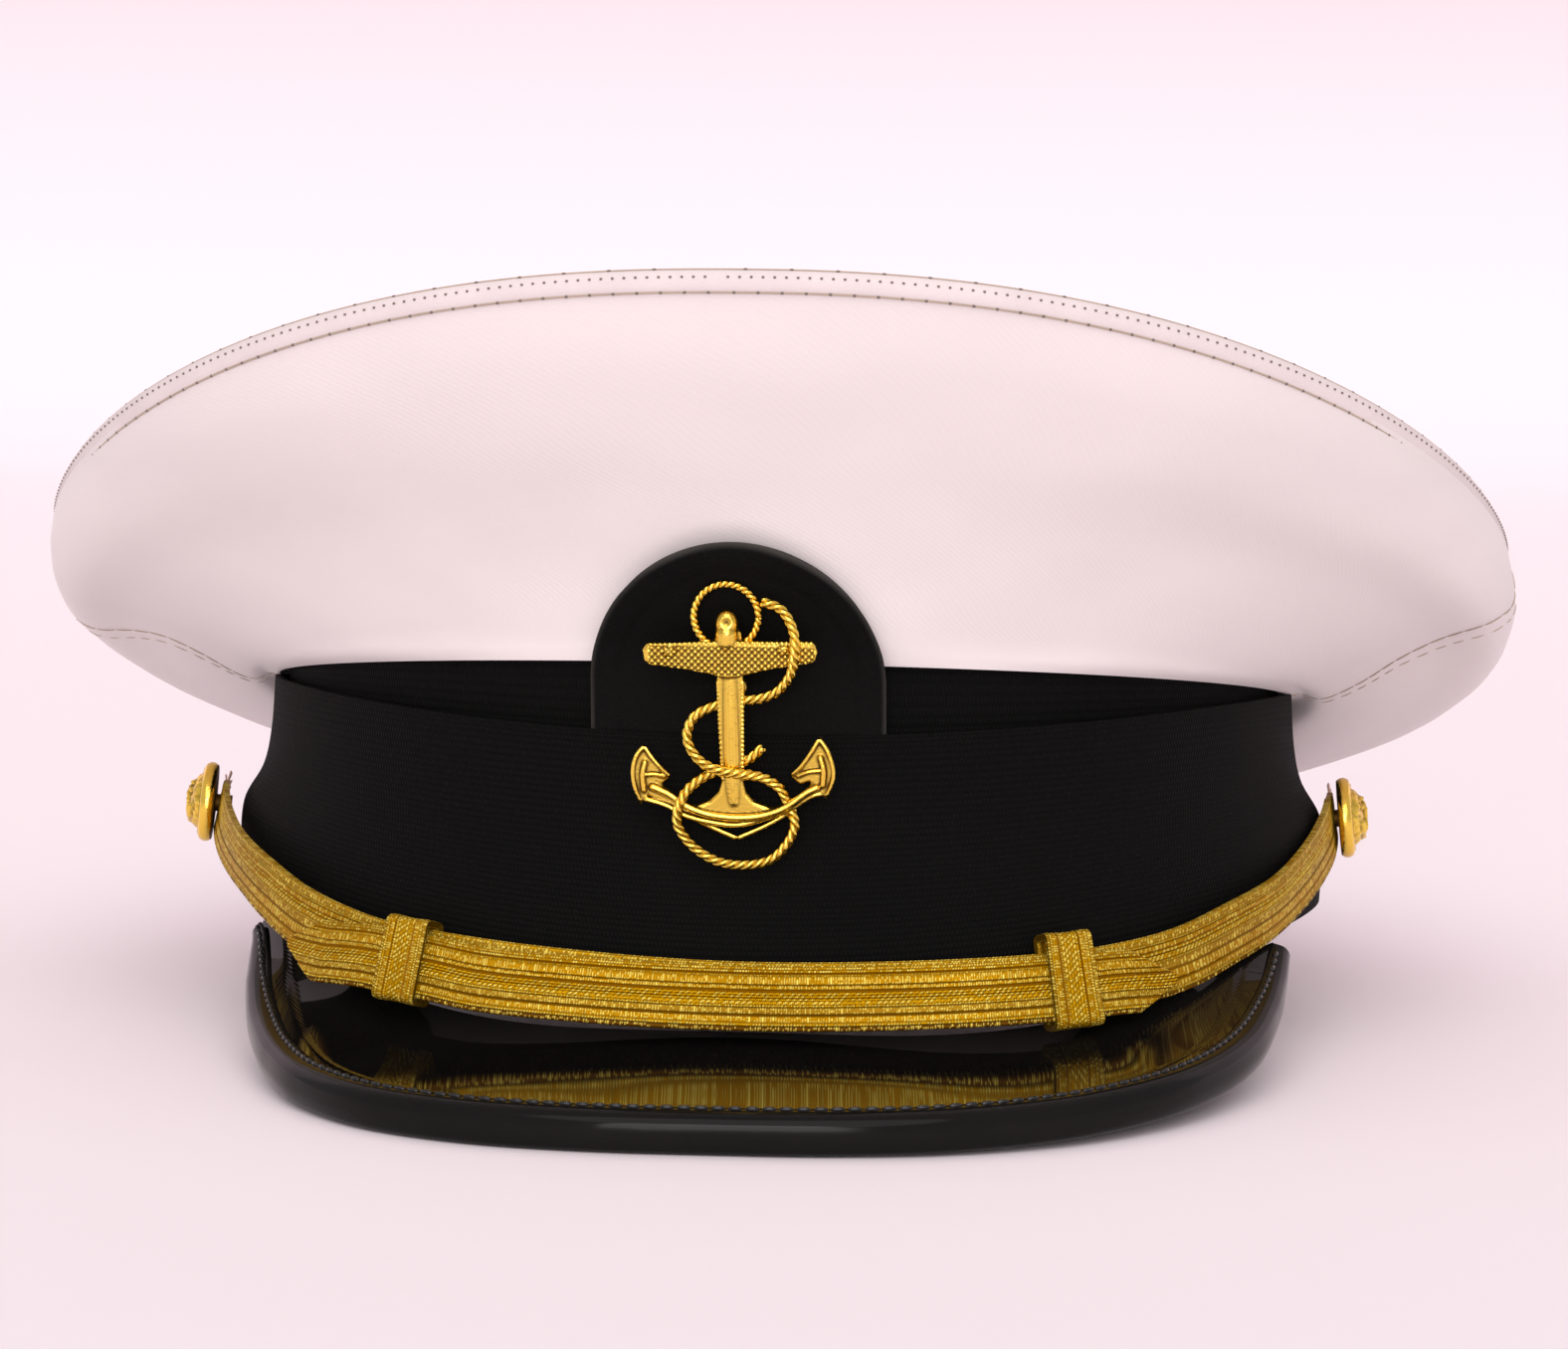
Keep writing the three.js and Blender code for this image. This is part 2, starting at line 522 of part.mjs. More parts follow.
// A rectangle across the strap: from its upper edge to its lower edge, and from its inner face out.
function strapRectangle(frame, upper, lower, inner, outer) {
  const corner = (width, height) => frame.middle.clone()
    .addScaledVector(frame.across, width)
    .addScaledVector(frame.normal, height);
  return [corner(upper, inner), corner(lower, inner), corner(lower, outer), corner(upper, outer)];
}

function buttonHole(degrees) {
  const frame = strapFrame(degrees);
  const hole = new THREE.CylinderGeometry(BUTTON_SHANK_RADIUS + GAP, BUTTON_SHANK_RADIUS + GAP, 12, 16);
  hole.applyQuaternion(
    new THREE.Quaternion().setFromUnitVectors(new THREE.Vector3(0, 1, 0), buttonAxis(degrees)));
  hole.translate(...frame.middle.toArray());
  return hole;
}

function strapBack() {
  const sections = anglesBetween(STRAP_ENDS.left, STRAP_ENDS.right, 52).map((angle) =>
    strapRectangle(strapFrame(THREE.MathUtils.radToDeg(angle)),
      -LACE_HALF_WIDTH, LACE_HALF_WIDTH, 0, LACE_THICKNESS));
  const lace = sectionSolid(sections, false);
  return cut(cut(lace, buttonHole(BUTTON_ANGLES.left)), buttonHole(BUTTON_ANGLES.right));
}

// The front layer lies over the long one and runs to a point at each end.
function strapFront() {
  const middle = (STRAP_FRONT_UPPER + STRAP_FRONT_LOWER) / 2;
  const inner = LACE_THICKNESS + GAP;
  const sections = anglesBetween(STRAP_FRONT_ENDS.left, STRAP_FRONT_ENDS.right, 32).map((angle) => {
    const degrees = THREE.MathUtils.radToDeg(angle);
    const toEnd = Math.min(degrees - STRAP_FRONT_ENDS.left, STRAP_FRONT_ENDS.right - degrees);
    const share = Math.min(STRAP_POINT_WIDTH + ((1 - STRAP_POINT_WIDTH) * toEnd) / STRAP_POINT_LENGTH, 1);
    const { slip } = rowAtAngle(STRAP_FRONT_SLIP, degrees);
    return strapRectangle(strapFrame(degrees),
      slip + middle + (STRAP_FRONT_UPPER - middle) * share, slip + middle + (STRAP_FRONT_LOWER - middle) * share,
      inner, inner + LACE_THICKNESS);
  });
  return sectionSolid(sections, false);
}

// A keeper: out along its shell and back along its hollow, so that it is open at both ends.
function slider(degrees, upper) {
  const halfAngle = SLIDER_HALF_LENGTH / STRAP_ROWS[10].radius;
  const top = 2 * (LACE_THICKNESS + GAP);
  const sections = [-1, -0.5, 0, 0.5, 1].map((share) => {
    const frame = strapFrame(degrees + THREE.MathUtils.radToDeg(halfAngle * share));
    const shell = strapRectangle(frame, upper, SLIDER_LOWER, -GAP - SLIDER_WALL, top + SLIDER_WALL);
    const hollow = strapRectangle(frame, upper + SLIDER_WALL, SLIDER_LOWER - SLIDER_WALL, -GAP, top);
    return { shell, hollow };
  });
  const shells = sections.map((section) => section.shell);
  const hollows = sections.map((section) => section.hollow).reverse();
  return sectionSolid([...shells, ...hollows], true);
}

// ---- Buttons ------------------------------------------------------------------------------------

// Outward axis of a button: level with the strap's face and turned up a little.
function buttonAxis(degrees) {
  const angle = radians(degrees);
  const tilt = radians(BUTTON_TILT);
  return new THREE.Vector3(
    Math.sin(angle) * Math.cos(tilt), -Math.cos(angle) * Math.cos(tilt), Math.sin(tilt));
}

function button(degrees) {
  const frame = strapFrame(degrees);
  const profile = BUTTON_PROFILE.map((row) => new THREE.Vector2(row.radius, row.height));
  const geometry = new THREE.LatheGeometry(profile, 24);
  geometry.applyQuaternion(
    new THREE.Quaternion().setFromUnitVectors(new THREE.Vector3(0, 1, 0), buttonAxis(degrees)));
  const seat = frame.middle.clone().addScaledVector(frame.normal, LACE_THICKNESS);
  geometry.translate(...seat.toArray());
  return facingOut(weld(geometry));
}

// ---- Peak ---------------------------------------------------------------------------------------

const OUTER_RIM = OUTER_BAND_ROWS[0];
const VISOR_CORNER_ARC = radians(VISOR_EDGE_ROWS.at(-1).arc);

// Middle surface of the peak: across runs from -1 at the right-hand corner to 1, out from 0 at the
// band to 1 at the binding.
function visorPoint(across, out) {
  const edge = visorEdge(across);
  const angle = edge.arc;
  const sag = VISOR_SAG * Math.sin((Math.PI * edge.arc) / VISOR_CORNER_ARC) ** 2;
  const inner = new THREE.Vector3(
    VISOR_ARC_RADIUS * Math.sin(angle), -VISOR_ARC_RADIUS * Math.cos(angle),
    ringHeight(OUTER_RIM, angle) - VISOR_DROP - VISOR_THICKNESS / 2 - sag);
  const point = inner.lerp(edge.middle, out);
  point.z -= VISOR_HOLLOW * Math.sin(Math.PI * out) * (1 - across ** 4);
  return point;
}

function visorEdge(across) {
  const place = ((across + 1) / 2) * (VISOR_EDGE_ROWS.length - 1);
  const at = (column) => columnAt(VISOR_EDGE_ROWS, column, place);
  return {
    middle: new THREE.Vector3(at('x'), at('y'), at('z')),
    arc: radians(at('arc')),
    size: at('size'),
  };
}

// Directions at the peak's edge: outward along the peak and up through it.
function visorEdgeFrame(across) {
  const step = 0.004;
  const before = visorEdge(Math.max(across - step, -1)).middle;
  const after = visorEdge(Math.min(across + step, 1)).middle;
  const along = after.sub(before).normalize();
  const outward = visorPoint(across, 1).sub(visorPoint(across, 0.85));
  outward.addScaledVector(along, -outward.dot(along)).normalize();
  const up = outward.clone().cross(along).normalize();
  if (up.z < 0) {
    up.negate();
  }
  return { outward, up };
}

const visorStations = Array.from({ length: VISOR_STEPS + 1 }, (unused, index) =>
  Math.sin((Math.PI / 2) * ((2 * index) / VISOR_STEPS - 1) * 0.999) / Math.sin((Math.PI / 2) * 0.999));

function visor() {
  const shares = [0, 0.2, 0.4, 0.6, 0.8, 0.93, 1];
  const sections = visorStations.map((across) => {
    const { up } = visorEdgeFrame(across);
    const middle = shares.map((out) => visorPoint(across, out));
    const upper = middle.map((point) => point.clone().addScaledVector(up, VISOR_THICKNESS / 2));
    const lower = middle.map((point) => point.clone().addScaledVector(up, -VISOR_THICKNESS / 2));
    return [...upper, ...lower.reverse()];
  });
  return sectionSolid(sections, false).translate(VISOR_OFFSET, 0, 0);
}

// Section of the binding, as a C that opens towards the band: out and up from the peak's edge. The
// outer points come first, from the upper lip to the lower, and the groove's points follow, from the
// lower lip to the upper.
function trimSection(frame, middle, size) {
  const groove = TRIM_GROOVE;
  const above = groove + (TRIM_ABOVE - groove) * size;
  const below = TRIM_BELOW * size;
  const lap = TRIM_LAP * size;
  const outer = [
    [-lap, above - 0.2], [-lap * 0.85, above], [-lap * 0.2, above], [TRIM_NOSE * 0.6, above * 0.5],
    [TRIM_NOSE, -below * 0.15], [TRIM_NOSE, -below * 0.5], [TRIM_NOSE * 0.4, -below * 0.85],
    [-lap * 0.3, -below], [-lap * 0.7, -below * 0.9], [-lap, -below * 0.55],
  ];
  const inner = [
    [-lap, -groove], [-lap * 0.85, -groove], [-lap * 0.5, -groove], [0, -groove], [GAP, -groove * 0.5],
    [GAP, groove * 0.5], [0, groove], [-lap * 0.5, groove], [-lap * 0.85, groove], [-lap, groove],
  ];
  return [...outer, ...inner].map(([out, up]) => middle.clone()
    .addScaledVector(frame.outward, out)
    .addScaledVector(frame.up, up));
}

function visorTrim() {
  const sections = visorStations.map((across) => {
    const { middle, size } = visorEdge(across);
    return trimSection(visorEdgeFrame(across), middle, size);
  });
  return sectionSolid(sections, false).translate(VISOR_OFFSET, 0, 0);
}

// ---- Anchor badge -------------------------------------------------------------------------------

function plate(outline, { thickness, bevel }) {
  const shape = new THREE.Shape(outline.map((row) => new THREE.Vector2(row.x, row.y)));
  return new THREE.ExtrudeGeometry(shape, {
    depth: thickness - bevel,
    bevelEnabled: true,
    bevelThickness: bevel,
    bevelSize: bevel,
    bevelOffset: -bevel,
    bevelSegments: 1,
  });
}

// The shank: a bar with a ridge along its front.
function shank() {
  const { half_width: half, shoulder, ridge } = SHANK;
  const shape = new THREE.Shape([
    new THREE.Vector2(-half, 0), new THREE.Vector2(half, 0), new THREE.Vector2(half, shoulder),
    new THREE.Vector2(0, ridge), new THREE.Vector2(-half, shoulder),
  ]);
  const geometry = new THREE.ExtrudeGeometry(shape, { depth: SHANK.length, bevelEnabled: false });
  geometry.rotateX(Math.PI / 2);
  geometry.rotateY(Math.PI);
  geometry.translate(SHANK.x, SHANK.bottom + SHANK.length, 0);
  return geometry;
}

function rope() {
  const path = new THREE.CatmullRomCurve3(
    ROPE_ROWS.map((row) => new THREE.Vector3(row.x, row.y, row.height)));
  const section = new THREE.Shape();
  section.absarc(0, 0, ROPE_RADIUS, 0, 2 * Math.PI);
  return new THREE.ExtrudeGeometry(section, {
    steps: 76, curveSegments: 4, bevelEnabled: false, extrudePath: path,
  });
}

function anchorBadge() {
  const ring = new THREE.TorusGeometry(RING.radius, RING.wire, 8, 28);
  ring.translate(RING.x, RING.y, RING.height);
  const knob = new THREE.CapsuleGeometry(KNOB.radius, KNOB.length, 4, 12);
  knob.translate(KNOB.x, KNOB.y, KNOB.height);
  const post = new THREE.CylinderGeometry(POST.radius, POST.radius, POST.length, 12);
  post.rotateX(Math.PI / 2);
  post.translate(0, POST.y, POST.height);
  const badge = join([
    plate(STOCK_OUTLINE, STOCK), plate(ARMS_OUTLINE, ARMS), shank(), ring, knob, rope(), post,
  ]);
  badge.translate(0, -BADGE_LOW, 0);
  badge.rotateX(Math.PI / 2);
  badge.rotateX(radians(BADGE_LEAN));
  badge.translate(0, BADGE_BASE.y, BADGE_BASE.z);
  return badge;
}

// ---- The cap ------------------------------------------------------------------------------------

const CENTRE_SHIFT = 5.67; // moves the whole cap so that the origin is under the middle of its length

const group = new THREE.Group();
group.position.y = CENTRE_SHIFT;

function addPiece(name, geometry, material) {
  const mesh = new THREE.Mesh(geometry, material);
  mesh.name = name;
  group.add(mesh);
}

addPiece('crown_top', crownTop(), whiteCloth);
addPiece('rim_welt', rimWelt(), whiteCloth);
addPiece('quarter_front', quarter(SIDE_SEAMS.left + SEAM_GAP, SIDE_SEAMS.right - SEAM_GAP), whiteCloth);
addPiece('quarter_rear', quarter(SIDE_SEAMS.right + SEAM_GAP, 360 + SIDE_SEAMS.left - SEAM_GAP), whiteCloth);
addPiece('inner_band', ringWall(INNER_BAND_ROWS, BAND_WALL, anglesRound(RING_STEPS), true), blackRibbing);
addPiece('outer_band', ringWall(OUTER_BAND_ROWS, BAND_WALL, anglesRound(RING_STEPS), true), blackRibbing);
addPiece('badge_tab', badgeTab(), blackTab);
addPiece('anchor_badge', anchorBadge(), giltBrass);
addPiece('strap_back', strapBack(), goldLace);
addPiece('strap_front', strapFront(), goldLace);
addPiece('slider_left', slider(-SLIDER_ANGLE, SLIDER_UPPER.left), goldLace);
addPiece('slider_right', slider(SLIDER_ANGLE, SLIDER_UPPER.right), goldLace);
addPiece('button_left', button(BUTTON_ANGLES.left), giltBrass);
addPiece('button_right', button(BUTTON_ANGLES.right), giltBrass);
addPiece('visor', visor(), patentBlack);
addPiece('visor_trim', visorTrim(), patentBlack);

export default group;
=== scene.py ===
import math

import bpy
from mathutils import Matrix, Vector, noise


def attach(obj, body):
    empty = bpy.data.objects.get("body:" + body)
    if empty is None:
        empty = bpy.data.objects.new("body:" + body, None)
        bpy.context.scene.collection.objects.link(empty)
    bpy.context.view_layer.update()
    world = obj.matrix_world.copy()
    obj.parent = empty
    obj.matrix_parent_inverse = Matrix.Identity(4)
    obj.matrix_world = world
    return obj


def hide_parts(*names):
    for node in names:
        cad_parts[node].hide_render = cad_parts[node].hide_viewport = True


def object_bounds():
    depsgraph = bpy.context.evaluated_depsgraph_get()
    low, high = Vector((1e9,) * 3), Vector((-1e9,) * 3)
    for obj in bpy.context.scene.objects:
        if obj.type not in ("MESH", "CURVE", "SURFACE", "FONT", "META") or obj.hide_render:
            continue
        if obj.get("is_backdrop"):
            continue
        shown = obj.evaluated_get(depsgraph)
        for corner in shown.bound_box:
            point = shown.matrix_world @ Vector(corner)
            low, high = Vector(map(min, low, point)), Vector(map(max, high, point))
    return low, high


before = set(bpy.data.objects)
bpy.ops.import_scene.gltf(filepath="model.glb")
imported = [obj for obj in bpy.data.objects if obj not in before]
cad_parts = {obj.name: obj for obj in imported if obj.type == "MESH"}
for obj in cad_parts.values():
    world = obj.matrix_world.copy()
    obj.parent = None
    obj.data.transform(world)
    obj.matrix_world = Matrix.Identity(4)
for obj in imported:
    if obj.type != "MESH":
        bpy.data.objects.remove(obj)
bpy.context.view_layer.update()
scene = bpy.context.scene

# ---- Crown side panels ---------------------------------------------------------------------------
# Two panels of white coated twill, front and rear, sewn together at the sides. They flare out from
# the hem that grips the headband to the wire-stiffened rim, and droop behind and beside the band.

MM = 0.001
AXIS_Y = 5.67  # mm from the frame's origin back to the axis of the head opening
CLOTH = 1.1  # mm thick
WELD = 1e-6  # metres between points that are made one
# half width, front and rear reach from the axis, heights at front, side and rear, squareness, lean
PANEL_ROWS = [
    (93, 94.6, 96.5, 72.8, 59.4, 44.5, 2, 0),
    (96.2, 95.6, 99.6, 74.8, 59.9, 44, 2, 0),
    (100, 97.8, 102.8, 79, 58.8, 29, 2, 0),
    (108, 102.4, 109.5, 87.6, 61, 21, 2.05, 0),
    (120, 109, 119, 98.5, 64.8, 17.5, 2.1, 0),
    (130.3, 117, 129.5, 111.5, 66.6, 21, 2.2, 0),
    (133.6, 124.5, 135.8, 123.8, 72.5, 33, 2.25, -1),
    (132.4, 130.3, 137, 135.4, 80.4, 51.8, 2.3, -2),
]
# share of the way from hem to rim, then each side seam's angle from the front, in degrees
SEAM_ROWS = [
    (0, -88, 86), (0.17, -88.4, 88.6), (0.25, -89.3, 88.3), (0.33, -88.3, 87.6), (0.42, -84, 85.2),
    (0.5, -82.3, 81.3), (0.58, -84.8, 79.4), (0.67, -86.8, 77.6), (0.75, -87, 78.4), (0.83, -90.5, 81.4),
    (1, -95, 84),
]
SEAM_GAP = 0.1


def through(rows, place):
    """The table's row at a place between its rows, on a smooth curve through them all."""
    start = min(max(int(place), 0), len(rows) - 2)
    t = place - start
    near = [rows[min(max(start + step, 0), len(rows) - 1)] for step in (-1, 0, 1, 2)]
    return [
        b + t * ((c - a) + t * (2 * a - 5 * b + 4 * c - d + t * (3 * b - a - 3 * c + d))) / 2
        for a, b, c, d in zip(*near)
    ]


def smooth_key(rows, key):
    """The table's row at a value of its first column, on a smooth curve."""
    index = 0
    while index < len(rows) - 2 and rows[index + 1][0] < key:
        index += 1
    return through(rows, index + (key - rows[index][0]) / (rows[index + 1][0] - rows[index][0]))


def ring_point(row, angle):
    """Point of a ring round the head at an angle from the front, in mm."""
    half_width, front, rear, z_front, z_side, z_rear, square, lean = row
    sine, cosine = math.sin(angle), math.cos(angle)
    depth = front if cosine > 0 else rear
    mean = (z_front + z_rear) / 2
    height = (mean + z_side) / 2 + (z_front - z_rear) / 2 * cosine
    height += (mean - z_side) / 2 * math.cos(2 * angle) - lean * sine
    x = half_width * math.copysign(abs(sine) ** (2 / square), sine)
    y = AXIS_Y - depth * math.copysign(abs(cosine) ** (2 / square), cosine)
    return Vector((x, y, max(height, 0)))


def edit_all(operator, **settings):
    """Runs one edit operator on the whole of the active mesh."""
    bpy.ops.object.mode_set(mode="EDIT")
    bpy.ops.mesh.select_all(action="SELECT")
    operator(**settings)
    bpy.ops.object.mode_set(mode="OBJECT")


def lay_sheet(name, columns, rows, place, span, weld=False):
    """A grid laid over place(u, v), which gives mm. Its UV map is in metres over the span (mm)."""
    bpy.ops.object.select_all(action="DESELECT")
    bpy.ops.mesh.primitive_grid_add(x_subdivisions=columns, y_subdivisions=rows, size=1)
    sheet = bpy.context.object
    sheet.name = name
    for vertex in sheet.data.vertices:
        vertex.co = Vector(place(vertex.co.x + 0.5, vertex.co.y + 0.5)) * MM
    for corner in sheet.data.uv_layers[0].data:
        corner.uv = (corner.uv[0] * span[0] * MM, corner.uv[1] * span[1] * MM)
    if weld:
        edit_all(bpy.ops.mesh.remove_doubles, threshold=WELD)
    return sheet


def modify(piece, kind, **settings):
    """Adds a modifier and applies it."""
    bpy.context.view_layer.objects.active = piece
    modifier = piece.modifiers.new(kind, kind)
    for name, value in settings.items():
        setattr(modifier, name, value)
    bpy.ops.object.modifier_apply(modifier=modifier.name)


def thicken(piece, thickness, rounding=0):
    """Gives a sheet its thickness on the side away from its face, and rounds the rims."""
    modify(piece, "SOLIDIFY", thickness=thickness * MM, offset=-1, use_even_offset=True)
    if rounding:
        modify(piece, "BEVEL", width=rounding * MM, segments=2, limit_method="ANGLE", angle_limit=1.0)


def pick(*pieces):
    """Selects these pieces alone and makes the first of them active."""
    bpy.ops.object.select_all(action="DESELECT")
    for piece in pieces:
        piece.select_set(True)
    bpy.context.view_layer.objects.active = pieces[0]


def finish_piece(piece, material, slot, *nodes):
    """Smooths a piece, gives it its material, and fixes it to the cap."""
    pick(piece)
    bpy.ops.object.shade_smooth_by_angle(angle=math.radians(50))
    piece.data.materials.clear()
    piece.data.materials.append(material)
    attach(piece, "root")
    if nodes:
        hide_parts(*nodes)


def add_node(tree, kind, inputs=None, **settings):
    """A shader node with its settings, and its inputs set or linked."""
    made = tree.nodes.new(kind)
    for name, value in settings.items():
        setattr(made, name, value)
    for name, value in (inputs or {}).items():
        if isinstance(value, bpy.types.NodeSocket):
            tree.links.new(value, made.inputs[name])
        else:
            made.inputs[name].default_value = value
    return made


def calc(tree, operation, *values):
    """The result of a Math node."""
    return add_node(tree, "ShaderNodeMath", dict(enumerate(values)), operation=operation).outputs[0]


def blend(tree, share, first, second, blend_type="MIX"):
    """A colour between two colours, or the second laid over the first."""
    colors = {0: share, 6: first, 7: second}
    return add_node(tree, "ShaderNodeMix", colors, data_type="RGBA", blend_type=blend_type).outputs[2]


def ramp(tree, value, start, end, low=0.0, high=1.0):
    """A value brought from between start and end to between low and high, and held there."""
    return add_node(tree, "ShaderNodeMapRange", {
        "Value": value, "From Min": start, "From Max": end, "To Min": low, "To Max": high}).outputs[0]


def surface_uv(tree):
    """The place on a piece's UV map, in metres."""
    return add_node(tree, "ShaderNodeUVMap").outputs["UV"]


def object_place(tree):
    """The place in the cap's frame, in metres."""
    return add_node(tree, "ShaderNodeTexCoord").outputs["Object"]


def split(tree, place):
    """The X, Y and Z of a place."""
    return add_node(tree, "ShaderNodeSeparateXYZ", {"Vector": place}).outputs


def new_group(name, inputs, outputs):
    """A shader node group with named inputs (name, kind, value) and outputs (name, kind)."""
    tree = bpy.data.node_groups.new(name, "ShaderNodeTree")
    for title, kind, value in inputs:
        socket = tree.interface.new_socket(title, in_out="INPUT", socket_type=kind)
        if value is not None:
            socket.default_value = value
    for title, kind in outputs:
        tree.interface.new_socket(title, in_out="OUTPUT", socket_type=kind)
    return tree, tree.nodes.new("NodeGroupInput").outputs, tree.nodes.new("NodeGroupOutput").inputs


def use_group(tree, group, inputs):
    """Places a node group and returns its outputs."""
    return add_node(tree, "ShaderNodeGroup", inputs, node_tree=group).outputs


def new_finish(name, **constants):
    """A material with one Principled shader, whose constants are set on its own sockets."""
    material = bpy.data.materials.new(name)
    material.use_nodes = True
    tree = material.node_tree
    shader = tree.nodes["Principled BSDF"]
    for title, value in constants.items():
        shader.inputs[title.replace("_", " ").title().replace("Ior", "IOR")].default_value = value
    return material, tree, shader


def emboss(tree, shader, height, depth, strength=1.0):
    """Raises the surface by a height from 0 to 1, times a depth in mm."""
    bump = add_node(tree, "ShaderNodeBump", {"Height": height, "Distance": depth * MM, "Strength": strength})
    tree.links.new(bump.outputs["Normal"], shader.inputs["Normal"])


FLOAT, COLOR, VECTOR = "NodeSocketFloat", "NodeSocketColor", "NodeSocketVector"

# Uneven tone: slow, soft clouds and fine grain in a colour, as dye and handling leave.
uneven_tone, given, made = new_group(
    "uneven_tone",
    [("Color", COLOR, (1, 1, 1, 1)), ("Shade", COLOR, (0, 0, 0, 1)), ("Cloud Scale", FLOAT, 25.0),
     ("Cloud Amount", FLOAT, 0.3), ("Grain Scale", FLOAT, 1500.0), ("Grain Amount", FLOAT, 0.1)],
    [("Color", COLOR), ("Clouds", FLOAT), ("Grain", FLOAT)],
)
place = object_place(uneven_tone)
clouds = add_node(uneven_tone, "ShaderNodeTexNoise",
                  {"Vector": place, "Scale": given["Cloud Scale"], "Detail": 3.0}).outputs[0]
grain = add_node(uneven_tone, "ShaderNodeTexNoise",
                 {"Vector": place, "Scale": given["Grain Scale"], "Detail": 2.0}).outputs[0]
share = calc(uneven_tone, "MULTIPLY", clouds, given["Cloud Amount"])
share = calc(uneven_tone, "MULTIPLY_ADD", grain, given["Grain Amount"], share)
uneven_tone.links.new(blend(uneven_tone, share, given["Color"], given["Shade"]), made["Color"])
uneven_tone.links.new(clouds, made["Clouds"])
uneven_tone.links.new(grain, made["Grain"])


def cloudy(tree, color, shade, clouds, grain):
    """The uneven tone from a colour towards its shade, with clouds and grain as (scale, amount)."""
    return use_group(tree, uneven_tone, {
        "Color": (*color, 1), "Shade": (*shade, 1), "Cloud Scale": clouds[0], "Cloud Amount": clouds[1],
        "Grain Scale": grain[0], "Grain Amount": grain[1]})


# Thread rows: rows of stitches or ribs along u, each row shifted by half a stitch from the next.
thread_rows, given, made = new_group(
    "thread_rows",
    [("UV", VECTOR, None), ("Row Pitch", FLOAT, 0.001), ("Stitch Pitch", FLOAT, 0.0007)],
    [("Height", FLOAT), ("Row", FLOAT)],
)
parts = split(thread_rows, given["UV"])
row_place = calc(thread_rows, "DIVIDE", parts["Y"], given["Row Pitch"])
row_wave = calc(thread_rows, "PINGPONG", calc(thread_rows, "FRACT", row_place), 0.5)
row_height = calc(thread_rows, "SQRT", calc(thread_rows, "MULTIPLY", row_wave, 2.0))
odd = calc(thread_rows, "MODULO", calc(thread_rows, "FLOOR", row_place), 2.0)
stitch_place = calc(thread_rows, "MULTIPLY_ADD", odd, 0.5,
                    calc(thread_rows, "DIVIDE", parts["X"], given["Stitch Pitch"]))
stitch_wave = calc(thread_rows, "PINGPONG", calc(thread_rows, "FRACT", stitch_place), 0.5)
stitch_height = calc(thread_rows, "SQRT", calc(thread_rows, "MULTIPLY", stitch_wave, 2.0))
thread_rows.links.new(calc(thread_rows, "MULTIPLY", row_height, stitch_height), made["Height"])
thread_rows.links.new(row_height, made["Row"])

# White coated twill: fine slanted ribs under a soft, faintly glossy coating.
TWILL_PITCH, TWILL_STITCH, TWILL_SLANT = 0.85, 1.1, 38  # mm, mm and degrees
white_cloth, tree, shader = new_finish(
    "white_cloth", roughness=0.5, specular_ior_level=0.35, sheen_weight=0.15, sheen_roughness=0.5)
tone = cloudy(tree, (0.815, 0.743, 0.733), (0.735, 0.672, 0.668), (18.0, 0.5), (900.0, 0.16))
uv = surface_uv(tree)
slant = add_node(tree, "ShaderNodeMapping", {"Vector": uv, "Rotation": (0, 0, math.radians(TWILL_SLANT))}).outputs[0]
twill = use_group(tree, thread_rows, {
    "UV": slant, "Row Pitch": TWILL_PITCH * MM, "Stitch Pitch": TWILL_STITCH * MM})
spot = split(tree, object_place(tree))
# painted shade darkens the cloth high on the sides, and painted light brightens it low in front
high, aside = ramp(tree, spot["Z"], 0.06, 0.08), ramp(tree, calc(tree, "ABSOLUTE", spot["X"]), 0.065, 0.11)
sides_painted_shade = blend(tree, calc(tree, "MULTIPLY", high, aside), tone["Color"], (0.70, 0.642, 0.636, 1))
low, ahead = ramp(tree, spot["Z"], 0.104, 0.072), ramp(tree, spot["Y"], -0.02, -0.07)
front_painted_light = calc(tree, "MULTIPLY", low, ahead)
tree.links.new(blend(tree, front_painted_light, sides_painted_shade, (0.95, 0.875, 0.865, 1)), shader.inputs["Base Color"])
lift = calc(tree, "MULTIPLY_ADD", tone["Grain"], 0.8, calc(tree, "MULTIPLY", twill["Row"], 0.5))
emboss(tree, shader, lift, 0.05, 0.6)


def crown_side(degrees, v, lift=0):
    """Point on the crown's side, v of the way from hem to rim, at a lift over it in mm."""
    point = ring_point(through(PANEL_ROWS, v * (len(PANEL_ROWS) - 1)), math.radians(degrees))
    outward = Vector((point.x, point.y - AXIS_Y, 0)).normalized()
    dents = 0.9 * noise.noise(point / 42) + 0.35 * noise.noise(point / 15)
    taut = min(1, 5 * v) * min(1, 6 * (1 - v))
    return point + outward * (dents * taut + lift)


def side_panel(name, start, end, turns):
    """A crown panel from one seam column of SEAM_ROWS to the other."""

    def place(u, v):
        seams = smooth_key(SEAM_ROWS, v)
        first, last = seams[start] + SEAM_GAP, seams[end] - SEAM_GAP + turns * 360
        return crown_side(first + u * (last - first), v)

    return lay_sheet(name, 150, 56, place, (380, 75))


crown_front = side_panel("crown_front_panel", 1, 2, 0)
crown_rear = side_panel("crown_rear_panel", 2, 1, 1)
for panel, node in ((crown_front, "quarter_front"), (crown_rear, "quarter_rear")):
    thicken(panel, CLOTH, 0.35)
    finish_piece(panel, white_cloth, "white_cloth", node)

# ---- Rim welt and its threads --------------------------------------------------------------------
# A narrow strip of the same white cloth covers the wire at the rim. Tan thread shows in the crease
# below it, a row of needle holes and small stitches runs above it, and a thin thread edges the top.

